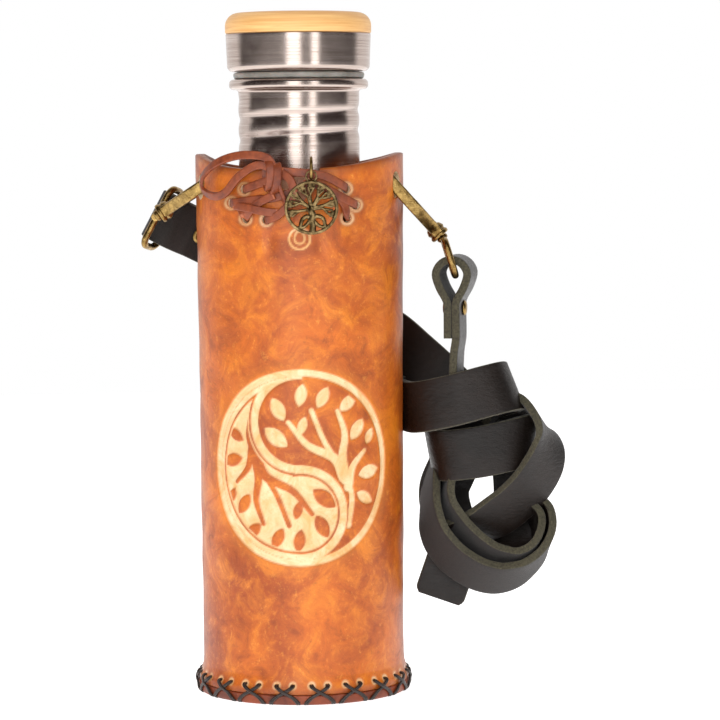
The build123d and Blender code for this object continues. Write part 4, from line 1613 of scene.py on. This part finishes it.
def left_strap():
    """Left end: fold on the eye, two riveted layers, and the run to the middle of the back."""
    centre, _, away = eye_place(-1)
    fold = centre + away * eye_depth
    across, down = back_axes()
    run = radians(back_dir)
    along = down * cos(run) + np.array([0, 1, 0]) * sin(run)
    outside = np.cross(across, along)
    points = [fold + along * a + outside * b for a, b in fold_outline()]
    points += [back_point(-27.5, 41.6), back_point(-13.0, 44.6), back_point(0.0, 45.3)]
    made = strap_piece("left_strap_half", smooth_path(points, 1.2), across)
    rivet("left_rivet", fold + along * rivet_at, outside, "left_strap", "left_strap_rivet")
    return made


def right_half():
    """Strap from the middle of the back, round the right of the sleeve and down into the knot."""
    level = back_axes()[0]
    steep = unit((0.60, 0.0, 0.80))
    stations = [
        (back_point(0.0, 45.3), level),
        (back_point(13.0, 44.6), level),
        (back_point(28.0, 40.2), level),
        (back_point(41.0, 31.6), unit((0.52, 0.0, 0.85))),
        (np.array([46.0, 24.0, 132.0]), steep),
        (np.array([55.0, 19.0, 124.0]), steep),
        (np.array([64.0, 17.0, 115.0]), steep),
    ]
    data = smooth_path([(*p, *w) for p, w in stations], 1.2)
    return strap_piece("right_strap_half", data[:, :3], data[:, 3:])


def knot_lengths():
    """The lengths of strap in the knot: whether each closes, and its places with their across directions."""
    level = (-0.10, 0.1, 1.0)
    big = (0.45, 0.55, -0.70)
    low = (-0.25, 0.75, -0.60)
    low_right = (-0.10, 0.85, -0.50)
    inner = (-0.2, 0.8, -0.56)
    hidden = (0.0, 1.0, -0.2)
    upright = (0.0, 0.0, 1.0)
    sideways = (1.0, 0.0, 0.0)
    upper_wrap = [
        ((39.5, 19.5, 113.5), (0.02, 0.0, 1.0)),
        ((41.5, 7.0, 113.0), (-0.04, 0.0, 1.0)),
        ((47.0, -6.0, 113.5), (-0.10, 0.15, 1.0)),
        ((60.0, -11.5, 116.4), (-0.14, 0.16, 1.0)),
        ((73.0, -11.0, 119.8), (-0.20, 0.16, 1.0)),
        ((82.0, -6.0, 121.4), (-0.36, 0.15, 1.0)),
        ((84.6, 5.0, 120.0), (-0.38, 0.0, 1.0)),
        ((76.0, 17.0, 116.6), (-0.15, 0.0, 1.0)),
        ((60.0, 23.5, 114.5), upright),
        ((46.0, 25.0, 113.5), upright),
    ]
    lower_wrap = [
        ((54.5, 12.0, 94.6), (-0.14, 0.0, 1.0)),
        ((53.0, 3.0, 94.1), (-0.18, 0.0, 1.0)),
        ((58.0, -5.0, 93.8), level),
        ((70.0, -7.2, 95.2), (0.0, 0.1, 1.0)),
        ((83.0, -4.6, 97.6), (0.02, 0.1, 1.0)),
        ((92.5, 3.0, 99.8), (0.04, 0.0, 1.0)),
        ((88.0, 13.0, 99.4), (0.1, 0.0, 1.0)),
        ((70.0, 17.0, 96.6), upright),
    ]
    side_loop = [
        ((76.0, 12.0, 106.0), hidden),
        ((83.0, 9.5, 113.0), (0.3, 0.9, -0.4)),
        ((90.5, 5.0, 111.5), (0.42, 0.7, -0.6)),
        ((95.6, -0.5, 106.3), big),
        ((98.4, -2.4, 99.5), big),
        ((97.6, -3.2, 91.6), big),
        ((93.2, -3.2, 83.2), big),
        ((86.4, -3.0, 75.4), big),
        ((78.4, -2.4, 69.0), big),
        ((71.0, 0.0, 64.6), (0.4, 0.7, -0.6)),
        ((64.0, 5.0, 62.0), (0.2, 0.9, -0.5)),
        ((57.0, 9.0, 62.0), hidden),
    ]
    outer_loop = [
        ((60.0, 24.0, 98.0), low),
        ((54.8, 17.5, 91.0), low),
        ((52.2, 10.5, 84.0), low),
        ((51.4, 3.4, 76.8), low),
        ((51.6, -0.4, 69.0), low),
        ((53.8, -1.3, 60.9), low),
        ((58.7, -1.3, 53.6), low),
        ((64.8, -1.3, 48.5), low),
        ((71.7, -1.3, 44.9), low),
        ((79.4, -1.3, 43.6), low),
        ((87.4, -1.0, 45.8), low),
        ((94.4, -0.4, 51.0), low_right),
        ((98.3, 1.0, 57.0), low_right),
        ((99.4, 4.0, 63.0), low_right),
        ((97.4, 11.0, 70.0), hidden),
        ((90.0, 18.0, 79.0), hidden),
    ]
    inner_loop = [
        ((67.0, 14.5, 98.0), inner),
        ((61.4, 8.0, 90.0), inner),
        ((57.9, 0.6, 78.5), inner),
        ((58.4, -0.6, 71.6), inner),
        ((62.0, -1.0, 64.6), inner),
        ((68.0, -1.0, 57.8), inner),
        ((75.4, -1.0, 52.4), inner),
        ((83.2, -0.8, 50.4), inner),
        ((90.0, -0.2, 52.8), low_right),
        ((94.2, 1.6, 58.2), low_right),
        ((94.6, 6.0, 65.0), low_right),
        ((88.0, 13.0, 73.0), hidden),
    ]
    back_right = [
        ((84.0, 20.5, 103.5), (1.0, 0.0, 0.1)),
        ((85.4, 19.5, 94.0), (1.0, 0.0, 0.1)),
        ((87.6, 18.0, 84.0), (1.0, 0.0, 0.05)),
        ((88.0, 16.0, 70.0), sideways),
        ((87.4, 12.0, 58.0), sideways),
        ((85.0, 6.0, 51.0), sideways),
    ]
    back_left = [
        ((63.0, 22.0, 108.0), (1.0, 0.0, -0.1)),
        ((63.0, 20.5, 98.0), (1.0, 0.0, -0.1)),
        ((61.6, 19.5, 88.0), (1.0, 0.0, -0.05)),
        ((57.6, 18.0, 78.0), sideways),
        ((58.4, 15.0, 69.0), (1.0, 0.0, 0.1)),
        ((62.0, 11.0, 61.0), (1.0, 0.0, 0.2)),
        ((69.0, 6.0, 56.5), (1.0, 0.0, 0.3)),
    ]
    tail = [
        ((65.2, 13.0, 64.0), (0.93, 0.05, -0.35)),
        ((62.6, 12.5, 56.0), (0.92, 0.05, -0.38)),
        ((58.8, 11.5, 45.0), (0.90, 0.0, -0.43)),
        ((54.8, 11.0, 33.6), (0.89, 0.0, -0.45)),
    ]
    return [
        (True, upper_wrap),
        (True, lower_wrap),
        (False, side_loop),
        (False, outer_loop),
        (False, inner_loop),
        (False, back_right),
        (False, back_left),
        (False, tail),
    ]


def knot():
    """The loose knot: two wraps round the bundle, three loops, two runs at the back and the tail."""
    shape = Shape()
    for closed, stations in knot_lengths():
        data = smooth_path([(*p, *w) for p, w in stations], 1.2, closed=closed)
        places = data[:, :3]
        from_end = np.linalg.norm(places - places[-1], axis=1)
        scale = np.ones(len(places)) if closed else 1 - 0.16 * np.clip(1 - from_end / 3.0, 0, 1) ** 2
        shape.sweep(places, data[:, 3:], strap_section, closed, scale, edge_material=1, back_material=2)
    return shape.make("strap_knot_loops", strap_materials, 50.0)


piece(right_strap(), "right_strap", "strap", "right_strap_drop")
piece(knot(), "right_strap", "strap", "strap_knot")
left_half = left_strap()
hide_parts("left_strap_end", "strap_back_run")
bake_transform(left_half)
right_run = right_half()
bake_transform(right_run)


# Studio


def studio():
    """Plain floor, two soft boxes, soft fill and a world that is pale behind the object."""
    bpy.ops.mesh.primitive_circle_add(vertices=96, radius=1.4, fill_type="NGON")
    floor = bpy.context.object
    floor.name = "studio_floor"
    floor.data.materials.append(pale_floor())
    soft_box("soft_box_left", -6.4, 1.6, 0.62, 1.7, 9.0)
    soft_box("soft_box_right", 27.6, 1.6, 0.32, 1.7, 4.6)
    fill_light("fill_front", (-0.5, -1.7, 0.9), 1.4, 11)
    fill_light("fill_left", (-1.3, -0.9, 0.7), 1.0, 5)
    fill_light("fill_right", (1.4, -0.8, 0.8), 1.0, 4)
    fill_light("fill_top", (0.0, -0.3, 1.7), 1.5, 6)
    studio_world()


def area_light(name, place, aim, width, height, power):
    """A flat soft light at a place, facing a point."""
    data = bpy.data.lights.new(name, "AREA")
    data.shape = "RECTANGLE"
    data.size = width
    data.size_y = height
    data.energy = power
    obj = bpy.data.objects.new(name, data)
    obj.location = place
    obj.rotation_euler = (Vector(aim) - Vector(place)).to_track_quat("-Z", "Y").to_euler()
    bpy.context.scene.collection.objects.link(obj)
    return obj


def soft_box(name, azimuth, distance, width, height, power):
    """A tall soft box, at an angle to the right of straight in front."""
    angle = radians(azimuth)
    place = (distance * sin(angle), -distance * cos(angle), 0.45)
    return area_light(name, place, (0, 0, 0.2), width, height, power)


def fill_light(name, place, size, power):
    """A soft light that leaves no mirror image in the steel."""
    light = area_light(name, place, (0, 0, 0.12), size, size, power)
    light.visible_glossy = False
    return light


def studio_world():
    """White where the camera looks; for light, white behind the object and grey in front of it."""
    world = bpy.data.worlds.new("studio")
    bpy.context.scene.world = world
    world.use_nodes = True
    tree = world.node_tree
    background = tree.nodes["Background"]
    coords = tree.nodes.new("ShaderNodeTexCoord")
    split = tree.nodes.new("ShaderNodeSeparateXYZ")
    tree.links.new(coords.outputs["Generated"], split.inputs["Vector"])
    back = tree.nodes.new("ShaderNodeValToRGB")
    back.color_ramp.elements[0].position = 0.60
    back.color_ramp.elements[0].color = (0.045, 0.036, 0.036, 1)
    back.color_ramp.elements[1].position = 0.70
    back.color_ramp.elements[1].color = (0.95, 0.93, 0.92, 1)
    half = tree.nodes.new("ShaderNodeMapRange")
    half.inputs["From Min"].default_value = -1
    half.inputs["From Max"].default_value = 1
    tree.links.new(split.outputs["Y"], half.inputs["Value"])
    tree.links.new(half.outputs["Result"], back.inputs["Fac"])
    path = tree.nodes.new("ShaderNodeLightPath")
    mix = tree.nodes.new("ShaderNodeMix")
    mix.data_type = "RGBA"
    tree.links.new(path.outputs["Is Camera Ray"], mix.inputs[0])
    tree.links.new(back.outputs["Color"], mix.inputs[6])
    mix.inputs[7].default_value = (1, 1, 1, 1)
    tree.links.new(mix.outputs[2], background.inputs["Color"])


def camera():
    """Long lens, almost level with the middle of the canteen."""
    data = bpy.data.cameras.new("camera")
    data.lens = 152.5
    data.sensor_width = 36
    data.clip_start = 0.01
    obj = bpy.data.objects.new("camera", data)
    pitch_down = radians(90 - 4.31)
    roll = radians(-0.45)
    turn = Matrix.Rotation(pitch_down, 4, "X") @ Matrix.Rotation(roll, 4, "Z")
    obj.matrix_world = Matrix.Translation((0.0236, -1.22, 0.224)) @ turn
    bpy.context.scene.collection.objects.link(obj)
    bpy.context.scene.camera = obj


studio()
camera()
bpy.context.scene.view_settings.view_transform = "Standard"
